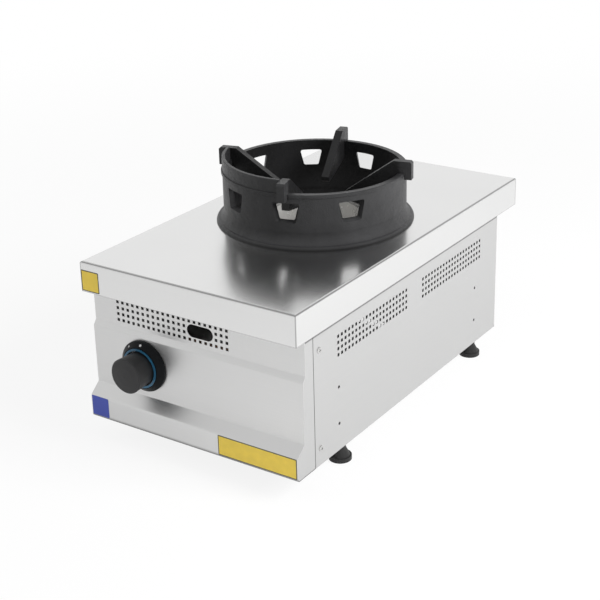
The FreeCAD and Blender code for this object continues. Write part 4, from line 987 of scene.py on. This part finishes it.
class WOKRANGE_OT_finish(RangeOperator, bpy.types.Operator):
    """Give every sheet, casting and moulding of the frame its finish"""

    bl_idname = "wokrange.finish"
    bl_label = "Finish the frame"

    def execute(self, context):
        finishes = make_finishes(context.scene.range_finishes)
        draw_ground_lines_and_shade(finishes, context.scene.range_shades)
        lay_ring_shade(finishes, context.scene.range_shades)
        for name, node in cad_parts.items():
            for entry in node.material_slots:
                slot = entry.material.name.split(".")[0]
                key = "side_sheet" if name.startswith(SIDE_NODES) else SLOT_FINISHES[slot]
                entry.material = finishes[key]
        return {"FINISHED"}


class WOKRANGE_OT_stickers(RangeOperator, bpy.types.Operator):
    """Lay the three plain stickers on the front"""

    bl_idname = "wokrange.stickers"
    bl_label = "Stickers"

    def execute(self, context):
        make_stickers(context.scene.range_stickers)
        return {"FINISHED"}


class WOKRANGE_OT_screws(RangeOperator, bpy.types.Operator):
    """Put pan-head screws with cross recesses on the side and back panels"""

    bl_idname = "wokrange.screws"
    bl_label = "Screws"

    def execute(self, context):
        sizes = context.scene.range_screws
        steel = bpy.data.materials["bright_steel"]
        screws_on("side_screws", "side_panel_right", 0, sizes, steel)
        screws_on("back_screws", "back_panel", 1, sizes, steel)
        return {"FINISHED"}


class WOKRANGE_OT_threads(RangeOperator, bpy.types.Operator):
    """Cut the threads of the feet and of the gas inlet"""

    bl_idname = "wokrange.threads"
    bl_label = "Threads"

    def execute(self, context):
        make_threads(context.scene.range_threads, bpy.data.materials["plated_steel"])
        return {"FINISHED"}


class WOKRANGE_OT_marks(RangeOperator, bpy.types.Operator):
    """Print the knob's two marks on the bezel"""

    bl_idname = "wokrange.marks"
    bl_label = "Knob marks"

    def execute(self, context):
        make_marks(context.scene.range_marks)
        return {"FINISHED"}


class WOKRANGE_OT_stage(RangeOperator, bpy.types.Operator):
    """Make the floor, the light and the camera"""

    bl_idname = "wokrange.stage"
    bl_label = "Stage"

    def execute(self, context):
        sizes = context.scene.range_stage
        make_floor(sizes)
        make_world(sizes)
        soft_lamp("key", sizes.key_place, sizes.lamp_aim, sizes.key_width, sizes.key_power)
        soft_lamp("fill", sizes.fill_place, sizes.lamp_aim, sizes.fill_width, sizes.fill_power)
        make_camera(sizes)
        context.scene.view_settings.view_transform = "Standard"
        return {"FINISHED"}


class WOKRANGE_PT_panel(bpy.types.Panel):
    """Lists the range's pieces in the sidebar"""

    bl_idname = "WOKRANGE_PT_panel"
    bl_label = "Wok range"
    bl_space_type = "VIEW_3D"
    bl_region_type = "UI"
    bl_category = "Wok range"

    def draw(self, context):
        for operator in OPERATORS:
            self.layout.operator(operator.bl_idname)


GROUPS = {
    "range_finishes": RangeFinishes,
    "range_shades": RangeShades,
    "range_stickers": RangeStickers,
    "range_screws": RangeScrews,
    "range_threads": RangeThreads,
    "range_marks": RangeMarks,
    "range_stage": RangeStage,
}
OPERATORS = (WOKRANGE_OT_finish, WOKRANGE_OT_stickers, WOKRANGE_OT_screws, WOKRANGE_OT_threads,
             WOKRANGE_OT_marks, WOKRANGE_OT_stage)


def register():
    """Registers the classes, and the groups of sizes on the scene."""
    for cls in (*GROUPS.values(), *OPERATORS, WOKRANGE_PT_panel):
        bpy.utils.register_class(cls)
    for name, cls in GROUPS.items():
        setattr(bpy.types.Scene, name, PointerProperty(type=cls))


def unregister():
    """Takes back what register did."""
    for name in GROUPS:
        delattr(bpy.types.Scene, name)
    for cls in reversed((*GROUPS.values(), *OPERATORS, WOKRANGE_PT_panel)):
        bpy.utils.unregister_class(cls)


def main():
    """Makes all the pieces and the stage."""
    register()
    bpy.ops.wokrange.finish()
    bpy.ops.wokrange.stickers()
    bpy.ops.wokrange.screws()
    bpy.ops.wokrange.threads()
    bpy.ops.wokrange.marks()
    bpy.ops.wokrange.stage()


if __name__ == "__main__":
    main()
